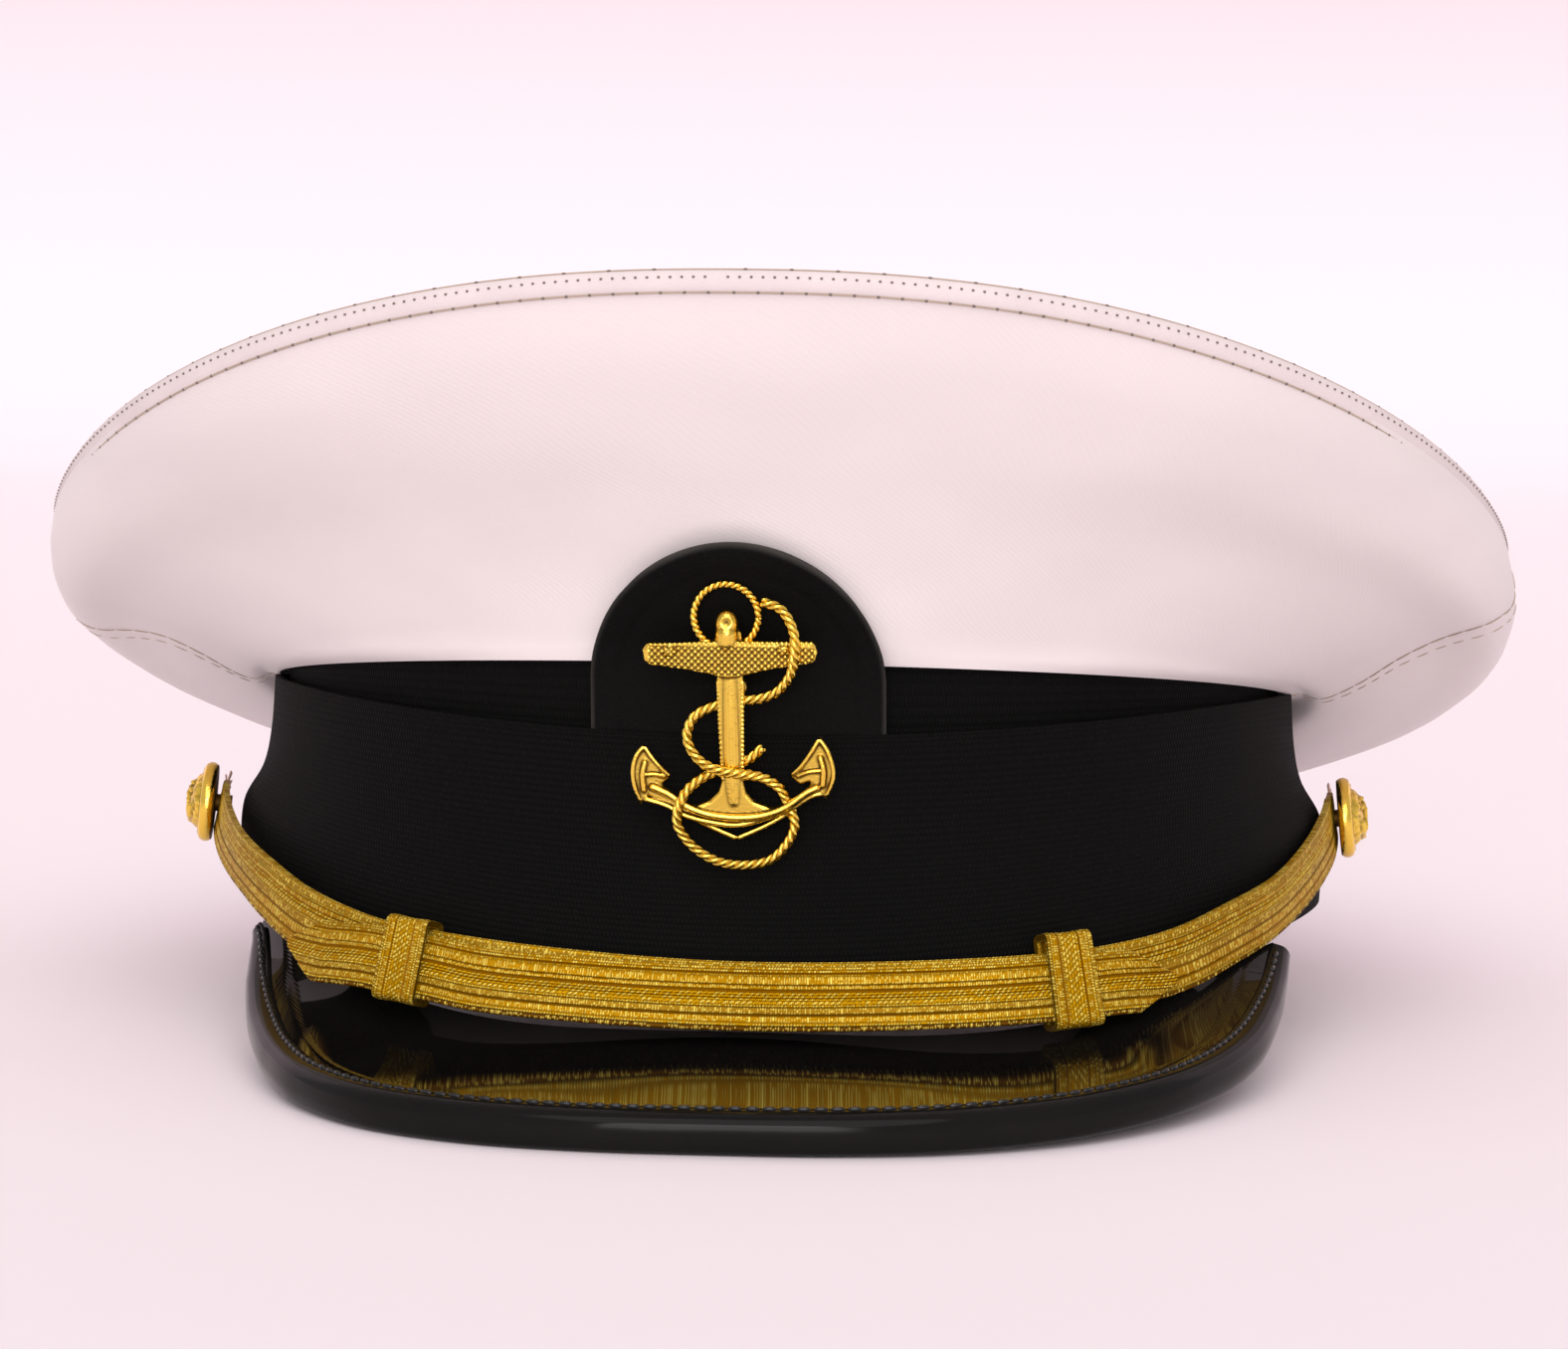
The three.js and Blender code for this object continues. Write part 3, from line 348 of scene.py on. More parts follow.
WELT_ROW = (131.2, 130.2, 136.2, 136.7, 81.3, 52.9, 2.3, -2)
WELT_RADIUS = 1.9
WELT_SQUASH = 0.45  # its depth for its height


def tube_place(path, radius, squash=1.0):
    """place(u, v) for a tube round path(u), which gives mm and runs round the cap."""

    def place(u, v):
        middle = path(u)
        ahead = path(u + 0.001) - middle
        outward = ahead.cross(Vector((0, 0, 1))).normalized()
        up = outward.cross(ahead).normalized() * -1
        turn = 2 * math.pi * v
        return middle + outward * radius * math.cos(turn) * squash + up * radius * math.sin(turn)

    return place


def rim_path(row, outward, up):
    """Path round the rim, moved outwards and up by so many mm."""

    def path(u):
        angle = 2 * math.pi * u
        point = ring_point(row, angle)
        away = Vector((math.sin(angle), -math.cos(angle), 0))
        return point + away * outward + Vector((0, 0, up))

    return path


def path_length(path, steps=400):
    """Length of path(u) from 0 to 1, in mm."""
    points = [path(index / steps) for index in range(steps + 1)]
    return sum((b - a).length for a, b in zip(points, points[1:]))


def stitch_row(name, path, pitch, stitch, radius, material, slot):
    """Stitches of a given length and radius, one each pitch along path(u), all in mm."""
    bpy.ops.object.select_all(action="DESELECT")
    bpy.ops.mesh.primitive_uv_sphere_add(segments=6, ring_count=5, radius=1)
    run = bpy.context.object
    run.name = name
    bpy.ops.object.mode_set(mode="EDIT")
    bpy.ops.mesh.select_all(action="SELECT")
    bpy.ops.transform.rotate(value=math.radians(90), orient_axis="Y", center_override=(0, 0, 0))
    bpy.ops.transform.resize(value=(stitch / 2 * MM, radius * MM, radius * MM), center_override=(0, 0, 0))
    bpy.ops.transform.translate(value=(pitch / 2 * MM, 0, 0))
    bpy.ops.object.mode_set(mode="OBJECT")
    count = int(path_length(path) / pitch)
    modify(run, "ARRAY", count=count, use_relative_offset=False, use_constant_offset=True,
           constant_offset_displace=(pitch * MM, 0, 0))
    steps = max(48, count * 2)
    line = bpy.data.curves.new(name + "_line", "CURVE")
    line.dimensions = "3D"
    spline = line.splines.new("POLY")
    spline.points.add(steps)
    for index, dot in enumerate(spline.points):
        dot.co = (*(path(index / steps) * MM), 1)
    guide = bpy.data.objects.new(name + "_line", line)
    scene.collection.objects.link(guide)
    modify(run, "CURVE", object=guide, deform_axis="POS_X")
    bpy.data.objects.remove(guide)
    finish_piece(run, material, slot)


def toned_finish(name, color, shade, clouds, grain, relief, depth, strength=1.0, **constants):
    """A material in uneven tone, embossed with that tone's "Clouds" or "Grain"."""
    material, tree, shader = new_finish(name, **constants)
    tone = cloudy(tree, color, shade, clouds, grain)
    tree.links.new(tone["Color"], shader.inputs["Base Color"])
    emboss(tree, shader, tone[relief], depth, strength)
    return material


def thread_finish(name, color, shade):
    """Sewing thread: twisted yarn with a slight lustre."""
    return toned_finish(name, color, shade, (150.0, 0.7), (4000.0, 0.4), "Grain", 0.05,
                        roughness=0.6, sheen_weight=0.3)


tan_thread = thread_finish("tan_thread", (0.5, 0.4, 0.3), (0.3, 0.23, 0.17))
dark_thread = thread_finish("dark_thread", (0.2, 0.15, 0.12), (0.12, 0.09, 0.07))
pale_thread = thread_finish("pale_thread", (0.75, 0.5, 0.42), (0.5, 0.3, 0.24))

strip_cloth = toned_finish(
    "strip_cloth", (0.74, 0.66, 0.655), (0.62, 0.55, 0.55), (120.0, 0.8), (1500.0, 0.25), "Grain", 0.05, 0.6,
    roughness=0.6, specular_ior_level=0.25)
strip_place = tube_place(rim_path(WELT_ROW, 0, 0), WELT_RADIUS, WELT_SQUASH)
welt = lay_sheet("rim_strip", 240, 16, strip_place, (825, 10), weld=True)
finish_piece(welt, strip_cloth, "white_cloth", "rim_welt")

crease = rim_path(WELT_ROW, 0.45, -1.75)
crease_thread = lay_sheet("rim_crease_thread", 360, 6, tube_place(crease, 0.17), (825, 1), weld=True)
finish_piece(crease_thread, tan_thread, "white_cloth")
stitch_row("rim_crease_stitches", crease, 3.8, 0.7, 0.27, dark_thread, "white_cloth")
holes = rim_path(WELT_ROW, 0.85, 0.75)
stitch_row("rim_upper_stitches", holes, 1.85, 0.5, 0.22, dark_thread, "white_cloth")

# ---- Crown top -----------------------------------------------------------------------------------
# An oval of the same white twill, held flat by the wire at the rim and very slightly domed. Its edge
# is turned in and sewn beside the welt, with a fine thread and a few knots along it.

TOP_ROW = (130.7, 129.7, 135.7, 137.4, 82.6, 54.2, 2.3, -2)
TOP_DOME = 3
TOP_FOLD = 0.975  # share of the way to the rim where the edge starts to turn in
TOP_FOLD_DROP = 1.2


def top_place(u, v):
    """The rim's own rise and fall fades to a level, gently domed middle."""
    share = 1 - v
    rim = ring_point(TOP_ROW, 2 * math.pi * u)
    half_width, front_reach, rear_reach, front, side, rear, _, lean = TOP_ROW
    sway = (front - rear) * (AXIS_Y - rim.y) / (front_reach + rear_reach) - lean * rim.x / half_width
    level = ((front + rear) / 2 + side) / 2
    height = level + sway * share + (rim.z - sway - level) * share**3 + TOP_DOME * (1 - share**2)
    point = Vector((rim.x * share, AXIS_Y + (rim.y - AXIS_Y) * share, height))
    point.z += 0.5 * noise.noise(point / 40) * min(1, 4 * v)
    point.z -= TOP_FOLD_DROP * max(0, (share - TOP_FOLD) / (1 - TOP_FOLD)) ** 2
    return point


crown_top = lay_sheet("crown_top_panel", 216, 60, top_place, (825, 130), weld=True)
thicken(crown_top, CLOTH, 0.3)
finish_piece(crown_top, white_cloth, "white_cloth", "crown_top")

edge_line = rim_path(WELT_ROW, 0.1, 1.95)
edge_thread = lay_sheet("rim_edge_thread", 360, 6, tube_place(edge_line, 0.13), (825, 1), weld=True)
finish_piece(edge_thread, tan_thread, "white_cloth")
stitch_row("rim_edge_knots", edge_line, 7.3, 0.8, 0.24, dark_thread, "white_cloth")

# ---- Side seam stitches --------------------------------------------------------------------------
# Each side seam is topstitched twice in tan thread: long stitches on the seam itself and a second
# row beside it on the rear panel.

SEAM_PITCH = 4.2
SEAM_LIFT = 0.05
# row, degrees behind the seam, and the stitch's length and radius
SEAM_STITCHES = [("near", 0, 3.95, 0.16), ("far", 2.6, 2.8, 0.15)]


def seam_path(column, offset):
    """Path from hem to rim beside a side seam, offset in degrees towards +X."""
    return lambda u: crown_side(smooth_key(SEAM_ROWS, u)[column] + offset, u, SEAM_LIFT)


for side, column, rearward in (("left", 1, -1), ("right", 2, 1)):
    for row, offset, stitch, radius in SEAM_STITCHES:
        stitch_row(f"seam_{row}_stitches_{side}", seam_path(column, rearward * offset), SEAM_PITCH, stitch,
                   radius, tan_thread, "white_cloth")

# ---- Bands ---------------------------------------------------------------------------------------
# The headband is covered with black knitted elastic in fine level ribs. A second, wider elastic band
# is pulled over it, so the inner one shows as a recess under the crown's hem.

OUTER_BAND_ROWS = [
    (99.8, 103, 99.5, 12.6, 22, -1.5, 2, 0),
    (100.2, 101.2, 98.6, 24, 30, 8, 2, 0),
    (99.6, 99.8, 98, 33, 37.5, 16, 2, 0),
    (96, 98.6, 97.5, 42, 44, 25, 2, 0),
    (94.5, 97.6, 97.2, 52, 51, 33, 2, 0),
    (93.9, 97.2, 97, 61, 60, 41, 2, 0),
]
INNER_BAND_ROWS = [
    (97.9, 100.7, 97.4, 14.1, 23.5, 1.5, 2, 0),
    (98, 98.9, 96.5, 24, 30, 8, 2, 0),
    (96.6, 97, 95.9, 33, 37.5, 16, 2, 0),
    (93.6, 95, 95.4, 42, 44, 25, 2, 0),
    (92.2, 93.5, 95.1, 52, 51, 33, 2, 0),
    (91.4, 92.9, 94.9, 61, 57.5, 41, 2, 0),
    (91.1, 92.8, 94.7, 78, 64, 48, 2, 0),
]
BAND_THICKNESS = 1.5
RIB_PITCH = 1.1
KNIT_PITCH = 0.72

ribbing, tree, shader = new_finish("black_ribbing", roughness=0.7, specular_ior_level=0.05)
uv = surface_uv(tree)
knit = use_group(tree, thread_rows, {
    "UV": uv, "Row Pitch": RIB_PITCH * MM, "Stitch Pitch": KNIT_PITCH * MM})
tone = cloudy(tree, (0.006, 0.0062, 0.0055), (0.002, 0.002, 0.002), (30.0, 0.5), (2500.0, 0.4))
# painted shade: the knit's colour darkens in the dips between its ribs
dip = calc(tree, "MULTIPLY", calc(tree, "SUBTRACT", 1.0, knit["Height"]), 0.75)
tree.links.new(blend(tree, dip, tone["Color"], (0.002, 0.002, 0.002, 1)), shader.inputs["Base Color"])
emboss(tree, shader, calc(tree, "MULTIPLY_ADD", tone["Grain"], 0.25, knit["Height"]), 0.16)


def band(name, rows, height, node):
    """A closed band laid over its rows of rings, trimmed where it stands on the floor."""

    def place(u, v):
        return ring_point(through(rows, v * (len(rows) - 1)), 2 * math.pi * u)

    piece = lay_sheet(name, 192, 36, place, (620, height), weld=True)
    thicken(piece, BAND_THICKNESS, 0.45)
    for vertex in piece.data.vertices:
        vertex.co.z = max(vertex.co.z, 0)
    finish_piece(piece, ribbing, "black_ribbing", node)


band("band_outer", OUTER_BAND_ROWS, 48.4, "outer_band")
band("band_inner", INNER_BAND_ROWS, 62.7, "inner_band")

# ---- Badge tab -----------------------------------------------------------------------------------
# A round-topped tab of black cloth stands up from behind the outer band to carry the badge. A folded
# strip of the same cloth binds its edge and has gone grey along the fold.

# height, depth of the tab's inner face from the axis, and the radius that it curves to
TAB_ROWS = [(50, 94.05, 91), (61, 93.45, 91), (69, 94.6, 95), (76, 96.9, 100), (82, 100.1, 106), (87, 103, 108),
            (94, 106.9, 108)]
TAB_HALF_WIDTH = 24
TAB_SPINE_TOP = 70
TAB_THICKNESS = 1.7
BINDING_WIDTH, BINDING_RISE, BINDING_STEP = 4, 0.35, 0.6  # how far it stands proud, and over what width
WEAVE_PITCH = 0.6

tab_cloth, tree, shader = new_finish("tab_cloth", roughness=0.75, specular_ior_level=0.06)
uv = surface_uv(tree)
weave = use_group(tree, thread_rows, {"UV": uv, "Row Pitch": WEAVE_PITCH * MM, "Stitch Pitch": WEAVE_PITCH * MM})
tone = cloudy(tree, (0.006, 0.006, 0.0055), (0.002, 0.002, 0.002), (60.0, 0.5), (1800.0, 0.4))
across = split(tree, uv)["Y"]
rubbed = calc(tree, "MULTIPLY", ramp(tree, across, 0.0007, 0.0, 0.0, 0.4), calc(tree, "ADD", tone["Clouds"], 0.3))
tree.links.new(blend(tree, rubbed, tone["Color"], (0.12, 0.115, 0.105, 1)), shader.inputs["Base Color"])
emboss(tree, shader, calc(tree, "MULTIPLY_ADD", tone["Grain"], 0.8, weave["Height"]), 0.07)


def tab_outline(u):
    """Point (x, z) of the tab's edge, from its lower right up over the top to its lower left."""
    straight = TAB_SPINE_TOP - TAB_ROWS[0][0]
    arc = math.pi * TAB_HALF_WIDTH
    run = u * (2 * straight + arc)
    if run < straight:
        return TAB_HALF_WIDTH, TAB_ROWS[0][0] + run
    if run > straight + arc:
        return -TAB_HALF_WIDTH, TAB_SPINE_TOP - (run - straight - arc)
    turn = (run - straight) / TAB_HALF_WIDTH
    return TAB_HALF_WIDTH * math.cos(turn), TAB_SPINE_TOP + TAB_HALF_WIDTH * math.sin(turn)


def tab_place(u, v):
    """From the tab's edge in to its spine, with the binding standing proud of the cloth."""
    x, z = tab_outline(u)
    spine = min(z, TAB_SPINE_TOP)
    inward = v * TAB_HALF_WIDTH
    x, z = x * (1 - v), spine + (z - spine) * (1 - v)
    depth, curve = smooth_key(TAB_ROWS, z)[1:]
    raised = BINDING_RISE * (1 - min(max((inward - BINDING_WIDTH + BINDING_STEP) / BINDING_STEP, 0), 1))
    raised -= 0.16 * max(0, 1 - inward / 0.5) ** 2
    y = AXIS_Y - depth - TAB_THICKNESS + BINDING_RISE - raised + x**2 / (2 * curve)
    return Vector((x, y, z))


tab = lay_sheet("badge_tab_cloth", 110, 40, tab_place, (115, TAB_HALF_WIDTH), weld=True)
edit_all(bpy.ops.mesh.flip_normals)
thicken(tab, TAB_THICKNESS, 0.15)
finish_piece(tab, tab_cloth, "black_tab", "badge_tab")

# ---- Anchor badge --------------------------------------------------------------------------------
# A fouled anchor stamped in brass and gilded: a pebbled stock, a ridged shank with a ring at its
# head, hollowed arms with pointed flukes, and a rope wound round them. Pins hold it to the tab.

BADGE_BASE = (-100, 39.4)  # y and z of the badge's back at its lowest point
BADGE_LEAN = 6.5  # degrees forward
BADGE_LOW = -24.1
BADGE_STRETCH = 1.018  # of its height
STOCK_OUTLINE = [
    (-14.1, 13.4), (-14.8, 12.2), (-14.5, 10.4), (-13.6, 9.7), (-9.5, 9.3), (-4.5, 8.6), (-0.8, 7.7), (1.8, 8.3),
    (6, 9.3), (10, 10), (13.6, 10.6), (14.1, 12.3), (13.5, 14.1), (9, 14), (4.4, 13.9), (-2.8, 13.9), (-9, 13.3),
]
SHANK_OUTLINE = [
    (1.5, 15.5), (-2.4, 15.5), (-2.6, 7), (-2.4, 0), (-1.9, -7), (-1.7, -9.3), (-2.3, -11.2), (-3.8, -12.7),
    (-6.5, -13.8), (-7.2, -14.6), (-3.3, -15.4), (1, -16.6), (5.5, -15.6), (8, -14.4), (6.6, -13.8), (3.6, -12.7),
    (2.3, -11.2), (1.8, -9.3), (1.85, 0), (1.8, 7),
]
ARMS_OUTLINE = [
    (1, -16.9), (-3.9, -16.5), (-8, -15.5), (-11, -13.9), (-13.8, -12.2), (-14.6, -10.6), (-12.9, -9.3),
    (-10.7, -11.1), (-8, -13.1), (-4.3, -14.5), (1, -15), (5.5, -14.4), (8.9, -12.9), (11.9, -10.7), (13.4, -9.2),
    (15.4, -9.9), (14.6, -10.8), (13, -11.9), (9.7, -14), (5.9, -15.6),
]
LEFT_FLUKE = [
    (-14.8, -3.6), (-16.2, -5.4), (-16.8, -8.1), (-16.4, -11.2), (-15.3, -13.8), (-14.2, -12.6), (-13.4, -10.8),
    (-12.6, -9.9), (-11.6, -10.1), (-10.1, -8.8), (-11.8, -7.2), (-13.6, -5.3),
]
RIGHT_FLUKE = [
    (14.4, -1.7), (16.1, -4), (17, -7), (16.8, -9.6), (15.5, -12.2), (14.3, -11.2), (13.6, -9.9), (12.6, -9.2),
    (11.2, -9.8), (9.4, -8.3), (11.5, -6.3), (13.2, -4),
]
# raised lines: side, height up the badge and height over its back, then the line's radius
RIDGES = [
    ([(-14.9, -12.7, 1.3), (-11, -13.7, 1.6), (-8, -15.2, 1.8), (-3.9, -16.2, 1.9), (1, -16.6, 2), (5.9, -15.3, 1.9),
      (9.7, -13.8, 1.7), (13, -11.7, 1.6), (15.2, -11.2, 1.3)], 0.45),
    ([(-13.9, -10.4, 1.7), (-10.6, -11.7, 2), (-7.6, -13.6, 2.2), (-3.9, -14.9, 2.3), (1, -15.3, 2.4),
      (5.4, -14.8, 2.3), (8.9, -13.4, 2.2), (12, -11.2, 1.9), (14.6, -9.9, 1.7)], 0.6),
    ([(-9, -14.9, 0.8), (-4, -17, 1.2), (0.8, -18.9, 1.7)], 0.42),
    ([(0.8, -18.9, 1.7), (5.5, -16.8, 1.2), (10.4, -14, 0.8)], 0.42),
    ([(-14.6, -3.9, 1.5), (-16, -5.6, 1.8), (-16.5, -8.2, 2), (-16.1, -11, 1.8), (-15.2, -13.2, 1.4)], 0.34),
    ([(-14.6, -3.9, 1.5), (-13.4, -5.6, 1.8), (-11.8, -7.4, 1.9), (-10.4, -8.8, 1.5)], 0.34),
    ([(-14.4, -6.2, 1.6), (-14.9, -8.6, 1.9), (-14.6, -11.6, 1.7)], 0.42),
    ([(-11, -8.9, 1.6), (-12.6, -8.5, 1.9), (-14.6, -8.6, 1.8)], 0.34),
    ([(14.3, -2.1, 1.5), (15.8, -4.2, 1.8), (16.7, -7.1, 2), (16.5, -9.4, 1.8), (15.5, -11.7, 1.4)], 0.34),
    ([(14.3, -2.1, 1.5), (13, -4.3, 1.8), (11.4, -6.6, 1.9), (9.8, -8.2, 1.5)], 0.34),
    ([(14.4, -4.8, 1.6), (15.1, -7.3, 1.9), (14.9, -10.2, 1.7)], 0.42),
    ([(10.6, -8.4, 1.6), (12.5, -7.6, 1.9), (14.8, -7.3, 1.8)], 0.34),
]
# side, height up the badge, and height of the rope's middle over the badge's back
ROPE_ROWS = [
    (4.7, 20.4, 1.6), (8, 19.1, 1.8), (10, 16, 2.8), (10.4, 12.6, 3.6), (9.8, 8.9, 2.6), (7.6, 5.7, 1.6),
    (4.6, 4.3, 1.2), (1.9, 3.9, 1), (-2.7, 3, 1), (-6, 1.4, 1.4), (-7.4, -1.3, 1.6), (-7, -3.9, 1.8),
    (-5, -6.2, 2.4), (-1.8, -7.5, 3.1), (1.4, -7.8, 3.5), (3.4, -8, 3.1), (5.4, -8.6, 2.4), (7.8, -10.3, 1.6),
    (8.7, -12, 1), (9.8, -14.4, 1.1), (10.3, -17, 1.6), (8.9, -20, 1.7), (6.2, -22.5, 1.7), (2, -23.4, 1.7),
    (-2.6, -22.8, 1.7), (-6.5, -20.4, 1.8), (-8.7, -17.2, 2.6), (-9, -14.9, 3), (-8.6, -13, 2.9),
    (-7.4, -10.9, 2), (-5, -9, 1.3), (-2.3, -7.8, 1.1), (2.4, -6, 1.1), (5.1, -3.7, 1.3),
]
ROPE_LAY = 4.4  # mm that a strand runs on in one turn
STOCK_BEADS, STOCK_BEAD_HEIGHTS = 34, [(13.1,), (13.5,), (13.7,), (13.8,)]
SHANK_BEADS = 26
SHANK_EDGES = [(-2.4, 7), (-2.3, 3.5), (-2.1, -1), (-1.8, -6), (-1.6, -9)], [(1.7, 7), (1.75, -1), (1.75, -9)]
RING = (-1.05, 17.8, 1.5, 5.3)  # side, height up the badge, height over its back, and radius
RING_TURNS = 16
KNURL_PITCH = 1.1

gilt, tree, shader = new_finish("gilt", metallic=1.0, roughness=0.2)
# painted shade: the gilt's colour darkens towards brown in its recesses, as marked in "hollow", and it is rougher
# there
painted_hollow_shade = add_node(tree, "ShaderNodeAttribute", attribute_name="hollow").outputs["Fac"]
tone = cloudy(tree, (1.0, 0.74, 0.13), (0.95, 0.58, 0.07), (220.0, 0.9), (2600.0, 0.15))
shaded_gilt = blend(tree, calc(tree, "MULTIPLY", painted_hollow_shade, 0.95), tone["Color"], (0.07, 0.03, 0.01, 1))
tree.links.new(shaded_gilt, shader.inputs["Base Color"])
rough = calc(tree, "MULTIPLY_ADD", painted_hollow_shade, 0.35, calc(tree, "MULTIPLY_ADD", tone["Grain"], 0.1, 0.1))
tree.links.new(rough, shader.inputs["Roughness"])
emboss(tree, shader, tone["Grain"], 0.05)


def plate(name, outline, low, high, bevel):
    """A flat plate with this outline, from one height to another, with its upper edges rounded."""
    bpy.ops.object.select_all(action="DESELECT")
    bpy.ops.mesh.primitive_circle_add(vertices=len(outline), fill_type="NGON")
    piece = bpy.context.object
    piece.name = name
    for vertex, (x, y) in zip(piece.data.vertices, outline):
        vertex.co = (x * MM, y * MM, high * MM)
    if piece.data.polygons[0].normal.z < 0:
        piece.data.flip_normals()
    thicken(piece, high - low)
    modify(piece, "BEVEL", width=bevel * MM, segments=2, limit_method="ANGLE", angle_limit=1.0)
    return piece


def blob(x, y, height, size):
    """A ball squashed to (width, depth, thickness), in mm."""
    bpy.ops.object.select_all(action="DESELECT")
    bpy.ops.mesh.primitive_uv_sphere_add(segments=16, ring_count=10, radius=1)
    piece = bpy.context.object
    for vertex in piece.data.vertices:
        vertex.co = (Vector((x, y, height)) + vertex.co * Vector(size)) * MM
    return piece


def rounded(share):
    """Height of a quarter circle at a share of its width, and 1 beyond it."""
    return math.sqrt(max(0, 1 - (1 - min(1, share)) ** 2))


def beside(path, u, turns, reach):
    """Point at a reach from path(u), so many turns round it."""
    ahead = (path(min(u + 0.002, 1)) - path(max(u - 0.002, 0))).normalized()
    side = ahead.cross(Vector((0, 0, 1))).normalized()
    turn = 2 * math.pi * turns
    return path(u) + (side * math.cos(turn) + side.cross(ahead) * math.sin(turn)) * reach


def cord(name, path, radius, columns, sides, length):
    """A round cord along path(u), tapered to nothing at its two ends."""

    def place(u, v):
        return beside(path, u, v, radius * rounded(min(u, 1 - u) * length / radius))

    return lay_sheet(name, columns, sides, place, (length, 2 * math.pi * radius), weld=True)


def along_rows(rows):
    """path(u) through the rows, at an even pace."""
    points = [Vector(through(rows, (len(rows) - 1) * index / 600)) for index in range(601)]
    runs = [0]
    for a, b in zip(points, points[1:]):
        runs.append(runs[-1] + (b - a).length)

    def path(u):
        goal = u * runs[-1]
        low, high = 0, 600
        while high - low > 1:
            middle = (low + high) // 2
            low, high = (middle, high) if runs[middle] <= goal else (low, middle)
        share = (goal - runs[low]) / max(runs[high] - runs[low], 1e-9)
        return points[low].lerp(points[high], min(share, 1))

    return path, runs[-1]


def twist(path, length, turns, count, orbit, radius, columns):
    """Strands that wind round path(u) together."""
    return [
        cord("strand", lambda u, phase=index / count: beside(path, u, turns * u + phase, orbit),
             radius, columns, 8, length)
        for index in range(count)
    ]


def ring_path(u):
    """Path round the ring at the shank's head."""
    turn = 2 * math.pi * u
    return Vector((RING[0] + RING[3] * math.cos(turn), RING[1] + RING[3] * math.sin(turn), RING[2]))


def join_pieces(name, pieces):
    """Makes one piece of several."""
    pick(*pieces)
    bpy.ops.object.join()
    pieces[0].name = name
    pieces[0].data.name = name
    return pieces[0]


def mount_badge(piece):
    """Moves a piece made flat, x to the side and y up, to its place on the tab."""
    lean = Matrix.Rotation(math.radians(90 + BADGE_LEAN), 4, "X")
    base = Matrix.Translation(Vector((0, BADGE_BASE[0] + AXIS_Y, BADGE_BASE[1])) * MM)
    size = Matrix.Diagonal((1, BADGE_STRETCH, 1, 1))
    piece.data.transform(base @ lean @ size @ Matrix.Translation((0, -BADGE_LOW * MM, 0)))


def paint_hollow_shade(piece, amount):
    """Stores in "hollow" how far each point lies in a recess, from 0 to 1, as a mask for painted shade."""
    pick(piece)
    marks = piece.data.color_attributes.new("hollow", "FLOAT_COLOR", "POINT")
    piece.data.color_attributes.active_color = marks
    bpy.ops.paint.vertex_color_dirt(blur_strength=1.0, blur_iterations=2, clean_angle=math.pi, dirt_angle=0)
    levels = sorted(mark.color[0] for mark in marks.data)
    high, low = levels[int(len(levels) * 0.6)], levels[int(len(levels) * 0.04)]
    for mark in marks.data:
        hollow = amount * min(max((high - mark.color[0]) / (high - low), 0), 1)
        mark.color = (hollow, hollow, hollow, 1)


parts = [
    plate("stock", STOCK_OUTLINE, 0.6, 2.9, 0.6),
    plate("shank", SHANK_OUTLINE, 0, 2, 0.45),
    plate("arms", ARMS_OUTLINE, 0, 1.5, 0.3),
    plate("fluke_left", LEFT_FLUKE, 0.2, 1.5, 0.3),
    plate("fluke_right", RIGHT_FLUKE, 0.2, 1.5, 0.3),
    blob(0, 6, 0.6, (2.4, 2.2, 1.3)),
    blob(-0.95, 16.6, 1.5, (1.95, 2.35, 1.7)),
    blob(-10.2, 12.1, 2.7, (1.1, 0.9, 0.9)),
    blob(8.6, 12.7, 2.7, (1.1, 0.9, 0.9)),
]
knob, length = along_rows([(-0.95, 12, 1.5), (-0.95, 16.8, 1.5)])
parts.append(cord("knob", knob, 1.95, 24, 24, length))
shank, length = along_rows([(-0.4, 9, 0.6), (-0.2, 0, 0.8), (0, -8, 0.8), (0.4, -14.5, 0.4)])
parts.append(cord("shank_round", shank, 1.75, 60, 20, length))
for rows, radius in RIDGES:
    path, length = along_rows(rows)
    parts.append(cord("ridge", path, radius, 60, 12, length))
# the beads along the stock's upper edge, and down both edges of the shank
for index in range(STOCK_BEADS):
    y = through(STOCK_BEAD_HEIGHTS, index / 11.5)[0]
    parts.append(blob(-13.4 + index * 0.8, y, 2.6, (0.36, 0.36, 0.36)))
for index in range(SHANK_BEADS):
    for rows in SHANK_EDGES:
        x, y = through(rows, index / (SHANK_BEADS - 1) * (len(rows) - 1))
        parts.append(blob(x, y, 1.75, (0.3, 0.34, 0.3)))
bpy.ops.object.select_all(action="DESELECT")
bpy.ops.mesh.primitive_cylinder_add(vertices=24, radius=1.5 * MM, depth=7.2 * MM, location=(0, 6 * MM, -2.6 * MM))
bpy.ops.object.transform_apply(location=True)
parts.append(bpy.context.object)
anchor = join_pieces("anchor_plate", parts)
modify(anchor, "REMESH", mode="VOXEL", voxel_size=0.15 * MM)
modify(anchor, "SMOOTH", factor=0.5, iterations=2)
# the stock's face is knurled, and the ball at the shank's head has a hollow
for vertex in anchor.data.vertices:
    spot = vertex.co / MM
    if 8.2 < spot.y < 13 and spot.z > 2.6 and abs(spot.x) < 13.6:
        slant = (math.sin(math.pi * (spot.x + spot.y) / KNURL_PITCH)
                 * math.sin(math.pi * (spot.x - spot.y) / KNURL_PITCH))
        vertex.co += vertex.normal * 0.36 * (abs(slant) - 0.5) * MM
    dip = (Vector((spot.x, spot.y)) - Vector((-0.9, 17))).length
    if spot.z > 2.2 and dip < 1:
        vertex.co.z -= 0.6 * MM * (1 - dip)

